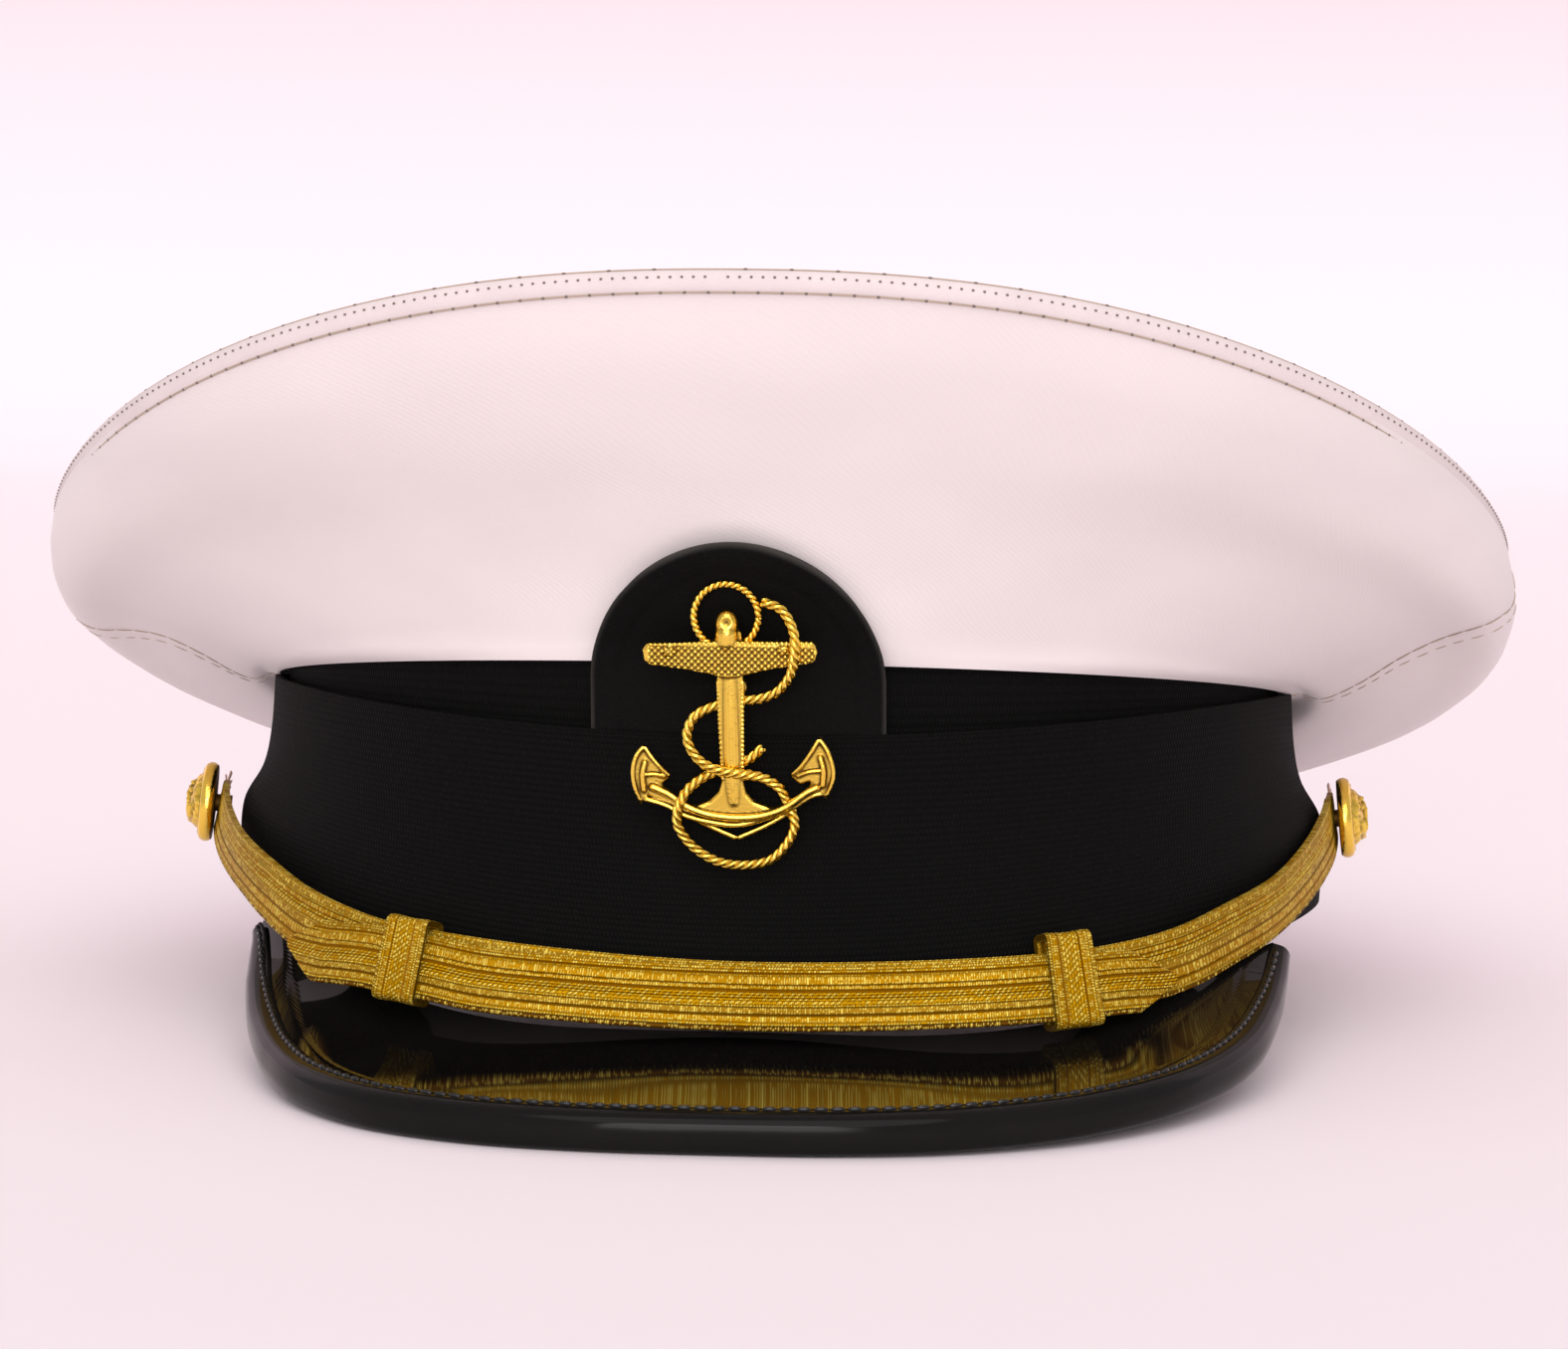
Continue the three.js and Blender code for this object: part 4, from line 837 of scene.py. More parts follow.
# a rope of three strands winds round the anchor, and a finer one of two makes the ring
rope_path, rope_length = along_rows(ROPE_ROWS)
strands = twist(rope_path, rope_length, round(rope_length / ROPE_LAY),
                count=3, orbit=0.48, radius=0.44, columns=700)
strands += twist(ring_path, 2 * math.pi * RING[3], RING_TURNS,
                 count=2, orbit=0.32, radius=0.36, columns=260)
rope = join_pieces("anchor_rope", strands)
for piece, nodes in ((anchor, ["anchor_badge"]), (rope, [])):
    mount_badge(piece)
    finish_piece(piece, gilt, "gilt", *nodes)
    paint_hollow_shade(piece, 1.0)

# ---- Chin strap ----------------------------------------------------------------------------------
# Gold lace woven in lengthwise lines of wire thread and beads over a pale selvage. A long strap runs
# from button to button, and a shorter one with pointed ends lies over its front.

LACE_THICKNESS = 1.2
LACE_SINK = 0.25  # how far the ground between the lines lies below the full thickness
STRAP_RADIUS = 105
MM_PER_DEGREE = 1.833  # along the strap
THREAD_WIDTH = 0.45  # of one row of beads
LONG_BEAD = 0.9  # beads longer than this lie slanted
WIRES_PER_METRE = 4200.0
STRAP_SHIFT = -1  # mm that the strap has slipped sideways
FACE_SHARE = 0.84  # of each strip's rows, the rest making its back
# angle from the front, then radius and height of the middle of its inner face, and tilt outwards
STRAP_ROWS = [
    (-94, 102.4, 39.2, 14), (-82, 102.3, 37, 12), (-76, 102.2, 35.4, 8), (-68, 102.4, 33, 2),
    (-61, 103, 30.8, -2), (-54, 103.5, 28, 2), (-48, 104, 25.2, 6), (-40, 104.8, 22.7, 12),
    (-34, 105, 21.2, 14), (-20, 105.3, 20, 15), (0, 105.3, 18.8, 15), (20, 105.3, 18.9, 15),
    (31, 105.2, 19.2, 15), (38, 105, 19.9, 14), (46, 104.4, 21.6, 8), (54, 103.6, 24.6, 2),
    (62, 103, 27.3, -2), (70, 102.4, 30.7, 0), (78, 102.2, 34.2, 4), (88, 102.2, 37.4, 8),
    (96, 102.4, 39.5, 8),
]
BACK_ENDS, BACK_HALF = (-86, 92), 5.6  # degrees, and half the width in mm
FRONT_ENDS, FRONT_HALF = (-47, 44), 5.5
FRONT_LOW = 0.7  # mm that the short strap hangs below the long one's middle
# angle from the front, and how far the short strap has slipped down there
FRONT_SLIP = [
    (-48, 4), (-41, 2.4), (-37, 0.9), (-33.5, 0.25), (-28, 0.25), (-23, 0.7), (-13, 0.4), (0, 0), (28, 0),
    (34, 0.1), (38, 0.5), (44, 1.8),
]
PAINTED_GLINT = (1.0, 0.84, 0.3)
BRIGHT = (0.82, 0.47, 0.012)
GOLD = (0.6, 0.325, 0.008)
ORANGE = (0.34, 0.16, 0.004)
BEIGE = (0.5, 0.295, 0.03)
BROWN = (0.2, 0.09, 0.006)
# upper edge of each line in mm from the lace's upper edge, height, length of its beads, colour, metal,
# and share of its beads that take a painted glint
FRONT_LINES = [
    (0, 0.14, 0.5, BEIGE, 0.2, 0.1), (0.35, 0.16, 0.45, GOLD, 0.5, 0.3), (0.85, 0.14, 0.45, GOLD, 0.5, 0.15),
    (1.35, -0.1, 0, ORANGE, 0.2, 0), (1.6, 0.3, 0.55, BRIGHT, 0.6, 0.6), (2.0, 0.24, 0.42, GOLD, 0.5, 0.1),
    (3.4, 0.24, 0.42, GOLD, 0.5, 0.34), (4.25, -0.14, 0, ORANGE, 0.2, 0), (4.55, 0.26, 0.95, BRIGHT, 0.6, 0.14),
    (5.05, 0.28, 0.95, BRIGHT, 0.6, 0.2), (5.55, 0.28, 0.95, BRIGHT, 0.6, 0.2), (6.05, 0.26, 0.95, BRIGHT, 0.6, 0.14),
    (6.6, 0.3, 0.5, BRIGHT, 0.6, 0.75), (7.05, 0.12, 0.42, BEIGE, 0.3, 0.02), (8.2, -0.12, 0, ORANGE, 0.2, 0),
    (8.45, 0.24, 0.42, GOLD, 0.5, 0.24), (9.7, 0.3, 0.5, BRIGHT, 0.6, 0.7), (10.2, 0.08, 0.4, BROWN, 0.1, 0),
    (11, 0, 0, BROWN, 0, 0),
]
BACK_LINES = [
    (0, 0.14, 0.5, BEIGE, 0.2, 0.1), (0.4, 0.26, 0.5, BRIGHT, 0.6, 0.4), (0.85, 0.14, 0.42, BEIGE, 0.3, 0.03),
    (1.6, 0.28, 0.55, BRIGHT, 0.6, 0.5), (2, 0.24, 0.42, GOLD, 0.5, 0.08), (3, -0.12, 0, ORANGE, 0.2, 0),
    (3.2, 0.26, 0.95, BRIGHT, 0.6, 0.3), (3.7, 0.28, 0.95, BRIGHT, 0.6, 0.3), (4.2, 0.26, 0.95, BRIGHT, 0.6, 0.3),
    (4.75, 0.28, 0.5, BRIGHT, 0.6, 0.6), (5.2, 0.12, 0.42, BEIGE, 0.3, 0.03), (6.6, -0.12, 0, ORANGE, 0.2, 0),
    (6.8, 0.24, 0.42, GOLD, 0.5, 0.12), (8.6, -0.12, 0, ORANGE, 0.2, 0), (8.8, 0.24, 0.42, GOLD, 0.5, 0.12),
    (9.9, 0.3, 0.5, BRIGHT, 0.6, 0.6), (10.4, 0.1, 0.4, BROWN, 0.1, 0.05), (11.2, 0, 0, BROWN, 0, 0),
]

gold_lace, tree, shader = new_finish("gold_lace", roughness=0.38, specular_ior_level=0.03)
# the "thread" colours hold the lace's thread colours along with painted highlights and painted shade from lace_at
thread_mark = add_node(tree, "ShaderNodeAttribute", attribute_name="thread").outputs
tone = cloudy(tree, (0.95, 0.93, 0.5), (0.6, 0.5, 0.15), (90.0, 0.7), (2400.0, 0.35))
color = blend(tree, 1.0, thread_mark["Color"], tone["Color"], "MULTIPLY")
tree.links.new(color, shader.inputs["Base Color"])
tree.links.new(thread_mark["Alpha"], shader.inputs["Metallic"])
wires = calc(tree, "MULTIPLY", split(tree, surface_uv(tree))["X"], WIRES_PER_METRE)
wires = calc(tree, "PINGPONG", wires, 0.5)
emboss(tree, shader, calc(tree, "MULTIPLY_ADD", tone["Grain"], 0.5, wires), 0.07)


def strap_middle(degrees):
    """Middle of the strap's inner face, and its tilt in degrees."""
    radius, z, tilt = smooth_key(STRAP_ROWS, degrees)[1:]
    angle = math.radians(degrees)
    return Vector((radius * math.sin(angle) + STRAP_SHIFT, AXIS_Y - radius * math.cos(angle), z)), tilt


strap_frames = {}


def strap_frame(degrees):
    """Middle of the strap's inner face, and the directions down across it and outwards."""
    if degrees not in strap_frames:
        middle, tilt = strap_middle(degrees)
        along = (strap_middle(degrees + 0.4)[0] - strap_middle(degrees - 0.4)[0]).normalized()
        angle, tilt = math.radians(degrees), math.radians(tilt)
        outward = Vector((math.sin(angle), -math.cos(angle), 0))
        across = outward * math.sin(tilt) - Vector((0, 0, 1)) * math.cos(tilt)
        across = (across - along * across.dot(along)).normalized()
        strap_frames[degrees] = middle, across, across.cross(along)
    return strap_frames[degrees]


def lace_at(lines, across, along):
    """Height over the lace's face, and colour with its share of metal, at a place in mm. The colour carries painted
    highlights and painted shade.
    """
    index = 0
    while index < len(lines) - 2 and across >= lines[index + 1][0]:
        index += 1
    start, height, bead, color, metal, glint = lines[index]
    width = lines[index + 1][0] - start
    share = min(max((across - start) / width, 0), 1)
    rows = max(1, round(width / THREAD_WIDTH))
    rise = math.sqrt(max(math.sin(math.pi * share), 0)) if rows == 1 else min(1, 6 * share * (1 - share) * width)
    if bead:
        place = along / bead + 0.5 * (index % 2) + (0.45 * share if bead > LONG_BEAD else 0)
        wire = math.sqrt(abs(math.sin(math.pi * place)))
        row = min(int(share * rows), rows - 1)
        chance = noise.cell(Vector((math.floor(place) + 0.5, index + 0.5, row + 0.5)))
        # painted highlight: a share of bead tops take a pale glint colour in place of their thread's colour
        if wire > 0.88 and rise > 0.6 and chance < glint:
            return height * rise, (*PAINTED_GLINT, metal)
        rise *= 0.66 + 0.2 * wire + 0.14 * chance if rows > 1 else 0.1 + 0.8 * wire + 0.1 * chance
    # painted shade: the colour darkens where the relief sinks, between beads and towards each line's edges
    relief_shade = 0.25 + 0.75 * rise if height > 0 else 1
    return height * rise, (color[0] * relief_shade, color[1] * relief_shade, color[2] * relief_shade, metal)


def lace_strip(name, first, last, edges, inner, lines, columns, rows):
    """A strip of lace along the strap, with edges(degrees) giving its edges and where its lines start."""
    length = math.radians(last - first) * STRAP_RADIUS

    def place(u, v):
        degrees = first + u * (last - first)
        upper, lower, start = edges(degrees)
        share = 1 - v / FACE_SHARE if v < FACE_SHARE else (v - FACE_SHARE) / (1 - FACE_SHARE)
        offset = upper + share * (lower - upper)
        relief, tint = lace_at(lines, offset - start, degrees * MM_PER_DEGREE)
        height = LACE_THICKNESS / 2 + relief - LACE_SINK if v < FACE_SHARE else -LACE_THICKNESS / 2
        height *= rounded(min(offset - upper, lower - offset) / 0.35) * rounded(min(u, 1 - u) * length / 0.4)
        middle, across, outward = strap_frame(degrees)
        return middle + across * offset + outward * (inner + LACE_THICKNESS / 2 + height), tint

    return lay_tinted(name, columns, rows, place, (length, 24))


def lay_tinted(name, columns, rows, place, span):
    """A welded sheet over place(u, v), which gives each point and the tint kept as its "thread"."""
    tints = []

    def remember(u, v):
        point, tint = place(u, v)
        tints.append(tint)
        return point

    sheet = lay_sheet(name, columns, rows, remember, span)
    marks = sheet.data.color_attributes.new("thread", "FLOAT_COLOR", "POINT")
    for mark, color in zip(marks.data, tints):
        mark.color = color
    edit_all(bpy.ops.mesh.remove_doubles, threshold=WELD)
    edit_all(bpy.ops.mesh.normals_make_consistent, inside=False)
    return sheet


def back_edges(degrees):
    """The long strap's upper edge gathers in behind each button."""
    gathered = min(max((abs(degrees - 3) - 82) / 7, 0), 1)
    return -BACK_HALF + 2.6 * gathered, BACK_HALF, -BACK_HALF


def front_edges(degrees):
    """The short strap narrows to a blunt point in the last few degrees of each end."""
    share = min(0.12 + 0.88 * min(degrees - FRONT_ENDS[0], FRONT_ENDS[1] - degrees) / 5, 1)
    slip = smooth_key(FRONT_SLIP, degrees)[1]
    return slip + FRONT_LOW - FRONT_HALF * share, slip + FRONT_LOW + FRONT_HALF * share, slip + FRONT_LOW - FRONT_HALF


lace_back = lace_strip("lace_long", *BACK_ENDS, back_edges, inner=0, lines=BACK_LINES, columns=1150, rows=64)
finish_piece(lace_back, gold_lace, "gold_lace", "strap_back")
lace_front = lace_strip(
    "lace_short", *FRONT_ENDS, front_edges, inner=1.5, lines=FRONT_LINES, columns=1100, rows=84)
finish_piece(lace_front, gold_lace, "gold_lace", "strap_front")

# ---- Sliders -------------------------------------------------------------------------------------
# Two keepers, each a short length of the same lace wrapped round both straps and sewn at the back,
# so that its lines run up and down. Its selvages stay pale.

SLIDER_LINES = [
    (0, 0.1, 0.5, BEIGE, 0.3, 0.05), (0.6, 0.26, 0.5, BRIGHT, 0.6, 0.5), (1.05, 0.24, 0.42, GOLD, 0.5, 0.1),
    (2.1, -0.12, 0, ORANGE, 0.2, 0), (2.35, 0.28, 0.5, BRIGHT, 0.6, 0.5), (2.8, 0.24, 0.95, BRIGHT, 0.6, 0.3),
    (3.35, 0.26, 0.95, BRIGHT, 0.6, 0.3), (3.9, 0.26, 0.95, BRIGHT, 0.6, 0.3), (4.45, 0.26, 0.95, BRIGHT, 0.6, 0.3),
    (5, 0.24, 0.95, BRIGHT, 0.6, 0.3), (5.55, 0.28, 0.5, BRIGHT, 0.6, 0.5), (6, -0.12, 0, ORANGE, 0.2, 0),
    (6.25, 0.24, 0.42, GOLD, 0.5, 0.1), (7.4, 0.26, 0.5, BRIGHT, 0.6, 0.5), (7.85, 0.12, 0.5, BEIGE, 0.3, 0.05),
    (8.8, 0, 0, BEIGE, 0, 0),
]
SLIDER_SIZE = (7.8, -1.3, 4)  # lower edge, and heights of its inner and outer faces
SLIDER_LENGTH = 8.8  # along the strap
SLIDER_RADIUS = 105.3  # from the cap's axis
SLIDER_ROUND = 1.5
SLIDER_WALL = 1
SLIDER_WAIST = 0.25  # how far its middle is drawn in


def slider(name, degrees, upper, node):
    """A keeper round both straps, with its middle and its upper edge at these places."""
    lower, inner, outer = SLIDER_SIZE
    wide, deep = lower - upper - 2 * SLIDER_ROUND, outer - inner - 2 * SLIDER_ROUND
    corner = math.pi * SLIDER_ROUND / 2
    length = 2 * (wide + deep) + 4 * corner

    def loop(u):
        """Point (across, height) round the keeper, from the middle of its outer face."""
        run = (u * length + wide / 2) % length
        spot, ahead = Vector((upper + SLIDER_ROUND, outer)), Vector((1, 0))
        for side in (wide, deep, wide, deep):
            if run <= side:
                return spot + ahead * run
            spot += ahead * side
            run -= side
            aside = Vector((ahead.y, -ahead.x))
            if run <= corner:
                turn = run / SLIDER_ROUND
                return spot + (ahead * math.sin(turn) + aside * (1 - math.cos(turn))) * SLIDER_ROUND
            spot += (ahead + aside) * SLIDER_ROUND
            run -= corner
            ahead = aside
        return spot

    def place(u, v):
        along = SLIDER_LENGTH * v
        relief, tint = lace_at(SLIDER_LINES, along, u * length)
        spot = loop(u)
        core = Vector((min(max(spot.x, upper + 2), lower - 2), min(max(spot.y, inner + 1.8), outer - 1.8)))
        spot += (spot - core).normalized() * (relief - LACE_SINK - SLIDER_WAIST * math.sin(math.pi * v))
        middle, across, outward = strap_frame(degrees + math.degrees((along - SLIDER_LENGTH / 2) / SLIDER_RADIUS))
        return middle + across * spot.x + outward * spot.y, tint

    piece = lay_tinted(name, 216, 60, place, (length, SLIDER_LENGTH))
    if piece.data.polygons[0].normal.dot(Vector((0, -1, 0))) < 0:
        piece.data.flip_normals()
    thicken(piece, SLIDER_WALL)
    finish_piece(piece, gold_lace, "gold_lace", node)


slider("keeper_left", -31, -7.1, "slider_left")
slider("keeper_right", 32.2, -8.8, "slider_right")

# ---- Buttons -------------------------------------------------------------------------------------
# Two domed gilt buttons stamped with a raised figure inside a rope rim. Each one's shank goes through
# the end of the strap, where the cut lace has frayed.

# distance from the axis and height over the strap's face, from the shank's end to the dome's top
BUTTON_PROFILE = [
    (0, -2.3), (1.5, -2.3), (1.6, -2.1), (1.6, 0.5), (1.8, 0.6), (6.3, 0.65), (6.9, 0.8), (7.25, 1.3), (7.35, 1.9),
    (7.2, 2.5), (6.8, 3), (6.2, 3.2), (5.7, 3.15), (5.35, 3.2), (5.1, 3.5), (4.6, 4.1), (3.8, 4.6), (2.8, 4.9),
    (1.4, 5.15), (0, 5.2),
]
BUTTON_TILT = 6  # degrees upwards
FIELD_RADIUS, ROPED_RADIUS, ROPED_TURNS = 5.3, 6.1, 28
SEAT_SHADE_HEIGHT = 0.85  # painted shade where the button sits on the strap, below this height over it
# strokes of the raised figure, a plain anchor: from x, y to x, y, and half width
BUTTON_FIGURE = [
    (0, -3.6, 0, 2.6, 0.45), (-1.8, 2, 1.8, 2, 0.35), (0, -3.7, -2.4, -2.4, 0.42), (0, -3.7, 2.4, -2.4, 0.42),
    (-2.4, -2.4, -3.1, -0.9, 0.42), (2.4, -2.4, 3.1, -0.9, 0.42), (-0.7, 3.4, 0.7, 3.4, 0.35),
]


def figure_height(x, y):
    """How far the figure stands up at a place on the dome."""
    best = math.inf
    for ax, ay, bx, by, half in BUTTON_FIGURE:
        run = Vector((bx - ax, by - ay))
        spot = Vector((x - ax, y - ay))
        share = min(max(spot.dot(run) / run.length_squared, 0), 1)
        best = min(best, (spot - run * share).length - half)
    return 0.75 * min(max(0.5 - best / 0.5, 0), 1)


def button_place(u, v):
    """The turned profile, with the figure on its dome and a roped ring round that."""
    turn = 2 * math.pi * u
    radius, height = through(BUTTON_PROFILE, v * (len(BUTTON_PROFILE) - 1))
    radius = max(radius, 0)
    x, y = radius * math.cos(turn), radius * math.sin(turn)
    if height > 2.4 and radius < FIELD_RADIUS:
        height += figure_height(x, y) + 0.3 * noise.noise(Vector((x, y, 0)) * 1.1)
    if FIELD_RADIUS < radius < ROPED_RADIUS and height > 1.7:
        height += 0.16 * math.sin(ROPED_TURNS * turn)
    return Vector((x, y, height))


FRAYED_THREADS = 16


def frayed_end(name, degrees, outward_turn):
    """Short loose threads past the strap's end."""
    threads = []
    for index in range(FRAYED_THREADS):
        chance = [noise.noise(Vector(((index + step) * 7.3, degrees, 0))) for step in (0, 20, 40)]
        offset = -2.8 + 8.2 * index / (FRAYED_THREADS - 1)
        bend, reach, lift = chance[0] * 2.2, 2 + 3 * abs(chance[1]), chance[2] * 1.6

        def path(u, offset=offset, bend=bend, reach=reach, lift=lift):
            middle, across, outward = strap_frame(degrees + outward_turn * math.degrees((u * reach - 0.6) / 103))
            return middle + across * (offset + bend * u * u - 1.6 * u) + outward * (0.6 + lift * u)

        threads.append(cord(name, path, 0.2, 8, 5, reach))
    return join_pieces(name, threads)


for side, degrees, end in (("left", -82, -86), ("right", 88, 92)):
    button = lay_sheet("button_" + side + "_dome", 112, 90, button_place, (45, 12), weld=True)
    middle, across, outward = strap_frame(degrees)
    angle, tilt = math.radians(degrees), math.radians(BUTTON_TILT)
    axis = Vector((math.sin(angle) * math.cos(tilt), -math.cos(angle) * math.cos(tilt), math.sin(tilt)))
    upright = (Vector((0, 0, 1)) - axis * axis.z).normalized()
    aim = Matrix((upright.cross(axis), upright, axis)).transposed().to_4x4()
    seat = (middle + outward * LACE_THICKNESS) * MM
    button.data.transform(Matrix.Translation(seat) @ aim)
    finish_piece(button, gilt, "gilt", "button_" + side)
    paint_hollow_shade(button, 0.8)
    # painted shade: the hollow marks are full where the button sits close to the strap
    for mark, vertex in zip(button.data.color_attributes["hollow"].data, button.data.vertices):
        if (vertex.co - seat).dot(axis) < SEAT_SHADE_HEIGHT * MM:
            mark.color = (1, 1, 1, 1)
    ends = frayed_end("frayed_threads_" + side, end, math.copysign(1, degrees))
    finish_piece(ends, pale_thread, "gold_lace")

# ---- Visor ---------------------------------------------------------------------------------------
# The peak is stiff board covered in black patent leather with a mirror finish. It is sewn in under
# the band's front and slopes down to the edge, with a fine line pressed in just inside the border.

VISOR_THICKNESS = 2.2
VISOR_ARC_RADIUS = 100.5  # of its inner edge
VISOR_HOLLOW = 1.2  # how far it dips between band and edge
VISOR_DROP = 0.8  # of its inner edge below the band's
VISOR_SAG = 3  # how much further it drops between its front and each corner
VISOR_OFFSET = 1  # sideways
LINE_INSET, LINE_DEPTH = 7.2, 0.12  # of the pressed line
# the middle of the peak's edge from one corner to the other, the angle of the band that it runs from,
# and the size of the binding there
VISOR_EDGE_ROWS = [
    (-90.4, -48, 17.2, -62.4, 0.7), (-89.4, -58, 14.2, -56, 0.8), (-87.6, -70, 11.3, -49, 0.9),
    (-84, -85.5, 8.4, -40, 1), (-78.2, -103, 6.4, -31, 1), (-70, -119.6, 5.4, -23.5, 1),
    (-57, -134.3, 5, -17, 1), (-39.5, -143.7, 4.95, -11, 1), (-20, -147.5, 4.94, -5.5, 1),
    (0, -147.75, 4.95, 0, 1), (19.5, -146.8, 5.1, 5.5, 1), (38.5, -142.4, 5.4, 11, 1),
    (56.5, -132.5, 6, 17, 1), (70.5, -118.5, 6.9, 23.5, 1), (80, -102.5, 8, 31, 1), (86.2, -86, 9.8, 40, 1),
    (89.4, -70, 12.6, 49, 0.9), (90.8, -58, 15.2, 56, 0.8), (91.5, -48, 18.4, 62.4, 0.7),
]

patent = toned_finish(
    "patent_black", (0.0035, 0.0032, 0.003), (0.006, 0.0055, 0.005), (12.0, 1.0), (700.0, 0.2), "Clouds", 0.25, 0.4,
    roughness=0.04, specular_ior_level=0.2)


def visor_edge(across):
    """Point, angle and binding size at a place along the peak's edge."""
    x, y, z, arc, size = through(VISOR_EDGE_ROWS, (across + 1) / 2 * (len(VISOR_EDGE_ROWS) - 1))
    return Vector((x, y + AXIS_Y, z)), math.radians(arc), size


def visor_point(across, out):
    """Middle surface of the peak: across from -1 to 1, out from 0 at the band to 1 at the edge."""
    edge, angle = visor_edge(across)[:2]
    rim = ring_point(OUTER_BAND_ROWS[0], angle).z - VISOR_DROP - VISOR_THICKNESS / 2
    rim -= VISOR_SAG * math.sin(180 * angle / VISOR_EDGE_ROWS[-1][3]) ** 2
    inner = Vector((VISOR_ARC_RADIUS * math.sin(angle), AXIS_Y - VISOR_ARC_RADIUS * math.cos(angle), rim))
    point = inner.lerp(edge, out)
    point.z -= VISOR_HOLLOW * math.sin(math.pi * out) * (1 - across**4)
    return point


visor_frames = {}


def visor_frame(across):
    """Directions at the peak's edge: outward along the peak, and up through it."""
    if across not in visor_frames:
        along = visor_edge(min(across + 0.004, 1))[0] - visor_edge(max(across - 0.004, -1))[0]
        along.normalize()
        outward = visor_point(across, 1) - visor_point(across, 0.85)
        outward = (outward - along * outward.dot(along)).normalized()
        up = outward.cross(along).normalized()
        visor_frames[across] = outward, up if up.z > 0 else -up
    return visor_frames[across]


def visor_across(u):
    """Stations across the peak, closer together near its corners."""
    return math.sin(math.pi / 2 * (2 * u - 1) * 0.999) / math.sin(math.pi / 2 * 0.999)


def visor_place(u, v):
    """The peak's upper face from its edge in to the band, with the line pressed in along the edge."""
    across = visor_across(u)
    up = visor_frame(across)[1]
    point = visor_point(across, 1 - v) + up * VISOR_THICKNESS / 2 + Vector((VISOR_OFFSET, 0, 0))
    reach = (visor_point(across, 1 - v) - visor_edge(across)[0]).length
    pressed = max(0, 1 - abs(reach - LINE_INSET) / 0.35)
    ease = 0.12 * noise.noise(point / 24) * min(1, v * 5)
    return point + up * (ease - LINE_DEPTH * pressed)


visor = lay_sheet("peak", 150, 200, visor_place, (200, 50))
thicken(visor, VISOR_THICKNESS, 0.25)
finish_piece(visor, patent, "patent_black", "visor")

# ---- Visor binding -------------------------------------------------------------------------------
# A roll of glossy black leather is sewn round the peak's edge. It laps a few millimetres over the top
# and deeper underneath, and a line of thick black stitches holds its inner edge.

TRIM_ABOVE = 2
TRIM_BELOW = 5
TRIM_LAP = 4.2
TRIM_NOSE = 1.2
TRIM_GROOVE = 1.6
OUTER_SHARE = 0.7  # of the section's rows, the rest lining the groove

trim_leather = toned_finish(
    "trim_leather", (0.005, 0.005, 0.0048), (0.009, 0.0085, 0.008), (40.0, 1.0), (900.0, 0.2), "Clouds", 0.3, 0.5,
    roughness=0.12, specular_ior_level=0.08)


def trim_section(size):
    """Points (out, up) of the binding's section, from its upper lip round to its lower lip."""
    above = TRIM_GROOVE + (TRIM_ABOVE - TRIM_GROOVE) * size
    below, lap, nose = TRIM_BELOW * size, TRIM_LAP * size, TRIM_NOSE
    return [
        (-lap, above - 0.2), (-lap * 0.85, above), (-lap * 0.2, above), (nose * 0.6, above * 0.5),
        (nose, -below * 0.15), (nose, -below * 0.5), (nose * 0.4, -below * 0.85), (-lap * 0.3, -below),
        (-lap * 0.7, -below * 0.9), (-lap, -below * 0.55),
    ]


def trim_place(u, v):
    """The binding's outer section, then the groove that grips the peak, drawn in at the two corners."""
    across = visor_across(u)
    edge, _, size = visor_edge(across)
    outward, up = visor_frame(across)
    outer = trim_section(size)
    lap = TRIM_LAP * size
    groove = [(-lap, -TRIM_GROOVE), (0, -TRIM_GROOVE), (0.3, 0), (0, TRIM_GROOVE), (-lap, TRIM_GROOVE), outer[0]]
    if v <= OUTER_SHARE:
        out, height = through(outer, v / OUTER_SHARE * (len(outer) - 1))
    else:
        place = (v - OUTER_SHARE) / (1 - OUTER_SHARE) * len(groove)
        index = min(int(place), len(groove) - 1)
        before = ([outer[-1]] + groove)[index]
        after = groove[index]
        out, height = (a + (place - index) * (b - a) for a, b in zip(before, after))
    close = rounded(min(u, 1 - u) * 150)
    out = -lap / 2 + (out + lap / 2) * close
    height = -0.5 + (height + 0.5) * close
    return edge + outward * out + up * height + Vector((VISOR_OFFSET, 0, 0))


trim = lay_sheet("peak_binding", 300, 60, trim_place, (330, 24), weld=True)
edit_all(bpy.ops.mesh.normals_make_consistent, inside=False)
finish_piece(trim, trim_leather, "patent_black", "visor_trim")


def trim_line(u):
    """Path of the stitches, just inside the binding's upper lip."""
    across = visor_across(u)
    edge, _, size = visor_edge(across)
    outward, up = visor_frame(across)
    out, height = trim_section(size)[1]
    return edge + outward * (out + 0.7) + up * (height + 0.1) + Vector((VISOR_OFFSET, 0, 0))


waxed_thread = new_finish(
    "waxed_thread", base_color=(0.012, 0.012, 0.012, 1), roughness=0.3, specular_ior_level=0.4)[0]
stitch_row("binding_stitches", trim_line, 2.7, 2.35, 0.5, waxed_thread, "patent_black")

# ---- Floor, light and camera ---------------------------------------------------------------------
# A pale sheet that sweeps up behind the cap, a wide soft light from above and in front, a low one to
# fill the shadows, and a camera that looks slightly down.

FLOOR_WIDTH, FLOOR_RUN = 9000, 11000
FLOOR_NEAR, FLOOR_BEND, FLOOR_RADIUS = -6000, 1600, 900


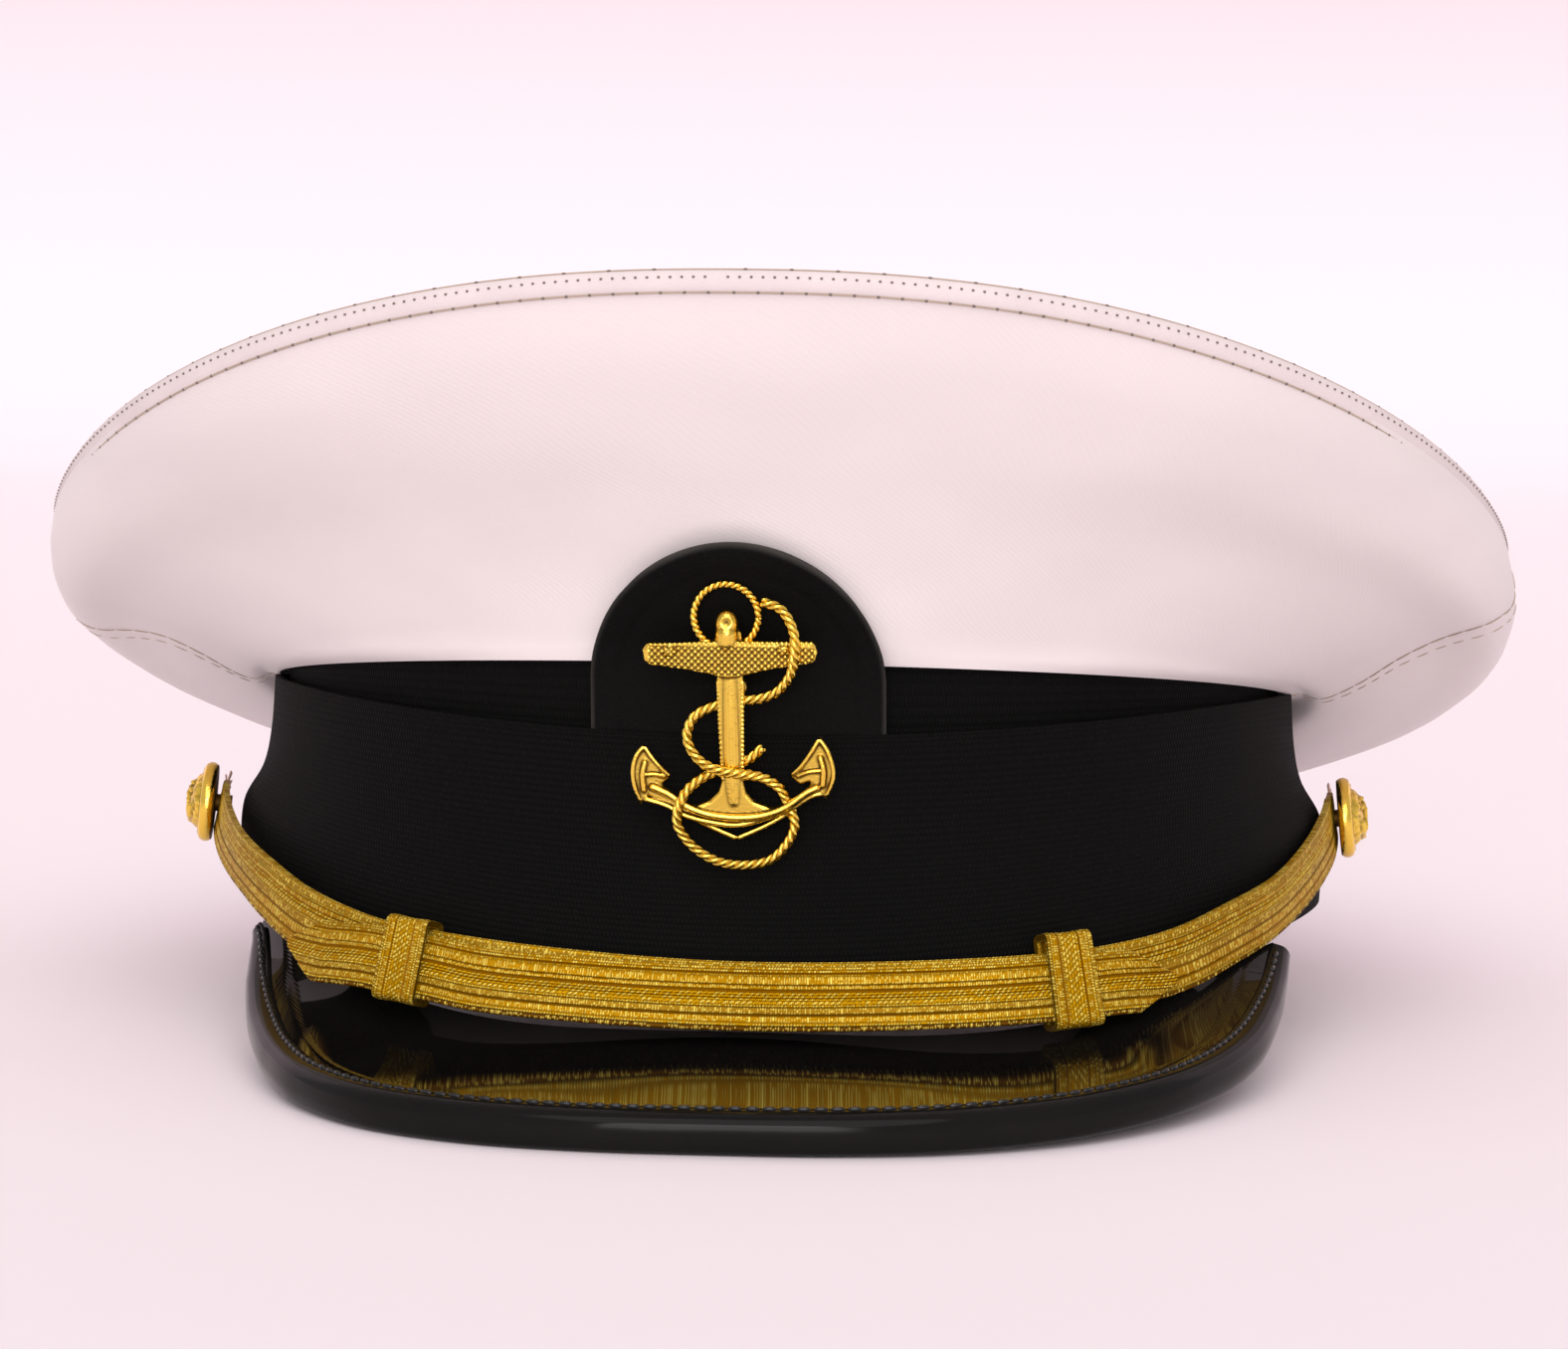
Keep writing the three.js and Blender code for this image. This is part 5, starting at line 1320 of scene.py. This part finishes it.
def floor_place(u, v):
    """Level from its near edge to the bend, then a quarter turn, then upright."""
    x, run = (u - 0.5) * FLOOR_WIDTH, FLOOR_NEAR + v * FLOOR_RUN
    if run < FLOOR_BEND:
        return Vector((x, run, 0))
    turn = min((run - FLOOR_BEND) / FLOOR_RADIUS, math.pi / 2)
    rise = max(0, run - FLOOR_BEND - FLOOR_RADIUS * math.pi / 2)
    return Vector((x, FLOOR_BEND + FLOOR_RADIUS * math.sin(turn), FLOOR_RADIUS * (1 - math.cos(turn)) + rise))


floor = lay_sheet("floor", 24, 176, floor_place, (FLOOR_WIDTH, FLOOR_RUN))
bpy.ops.object.shade_smooth()
paper, tree, shader = new_finish("paper", roughness=0.85, specular_ior_level=0.1)
rise = ramp(tree, split(tree, object_place(tree))["Z"], 0.0, 0.3)
tree.links.new(blend(tree, rise, (0.98, 0.905, 0.94, 1), (0.70, 0.605, 0.645, 1)), shader.inputs["Base Color"])
floor.data.materials.append(paper)
floor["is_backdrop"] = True

world = bpy.data.worlds.new("studio")
scene.world = world
world.use_nodes = True
world.node_tree.nodes["Background"].inputs["Color"].default_value = (1.0, 0.94, 0.95, 1)
world.node_tree.nodes["Background"].inputs["Strength"].default_value = 0.61

CAMERA_YAW, CAMERA_DOWN, CAMERA_ROLL = 4.6, 5.6, 0.7  # degrees

for name, energy, angle, toward in (
        ("soft_sun", 1.45, 55, (0.06, -0.8, 0.6)), ("low_fill", 1.35, 28, (0, -0.998, 0.06))):
    sun_data = bpy.data.lights.new(name, "SUN")
    sun_data.energy = energy
    sun_data.angle = math.radians(angle)
    sun_data.color = (1, 0.94, 0.94)
    sun = bpy.data.objects.new(name, sun_data)
    sun.rotation_euler = Vector(toward).to_track_quat("Z", "Y").to_euler()
    scene.collection.objects.link(sun)

camera_data = bpy.data.cameras.new("camera")
camera_data.sensor_width = 36
camera_data.lens = 111.7
camera_data.clip_end = 50
camera = bpy.data.objects.new("camera", camera_data)
camera.location = (0.0722, -0.8914, 0.150)
camera.rotation_euler = (
    Matrix.Rotation(math.radians(CAMERA_YAW), 3, "Z")
    @ Matrix.Rotation(math.radians(90 - CAMERA_DOWN), 3, "X")
    @ Matrix.Rotation(math.radians(CAMERA_ROLL), 3, "Z")
).to_euler()
scene.collection.objects.link(camera)
scene.camera = camera
scene.view_settings.view_transform = "Standard"

low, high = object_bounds()
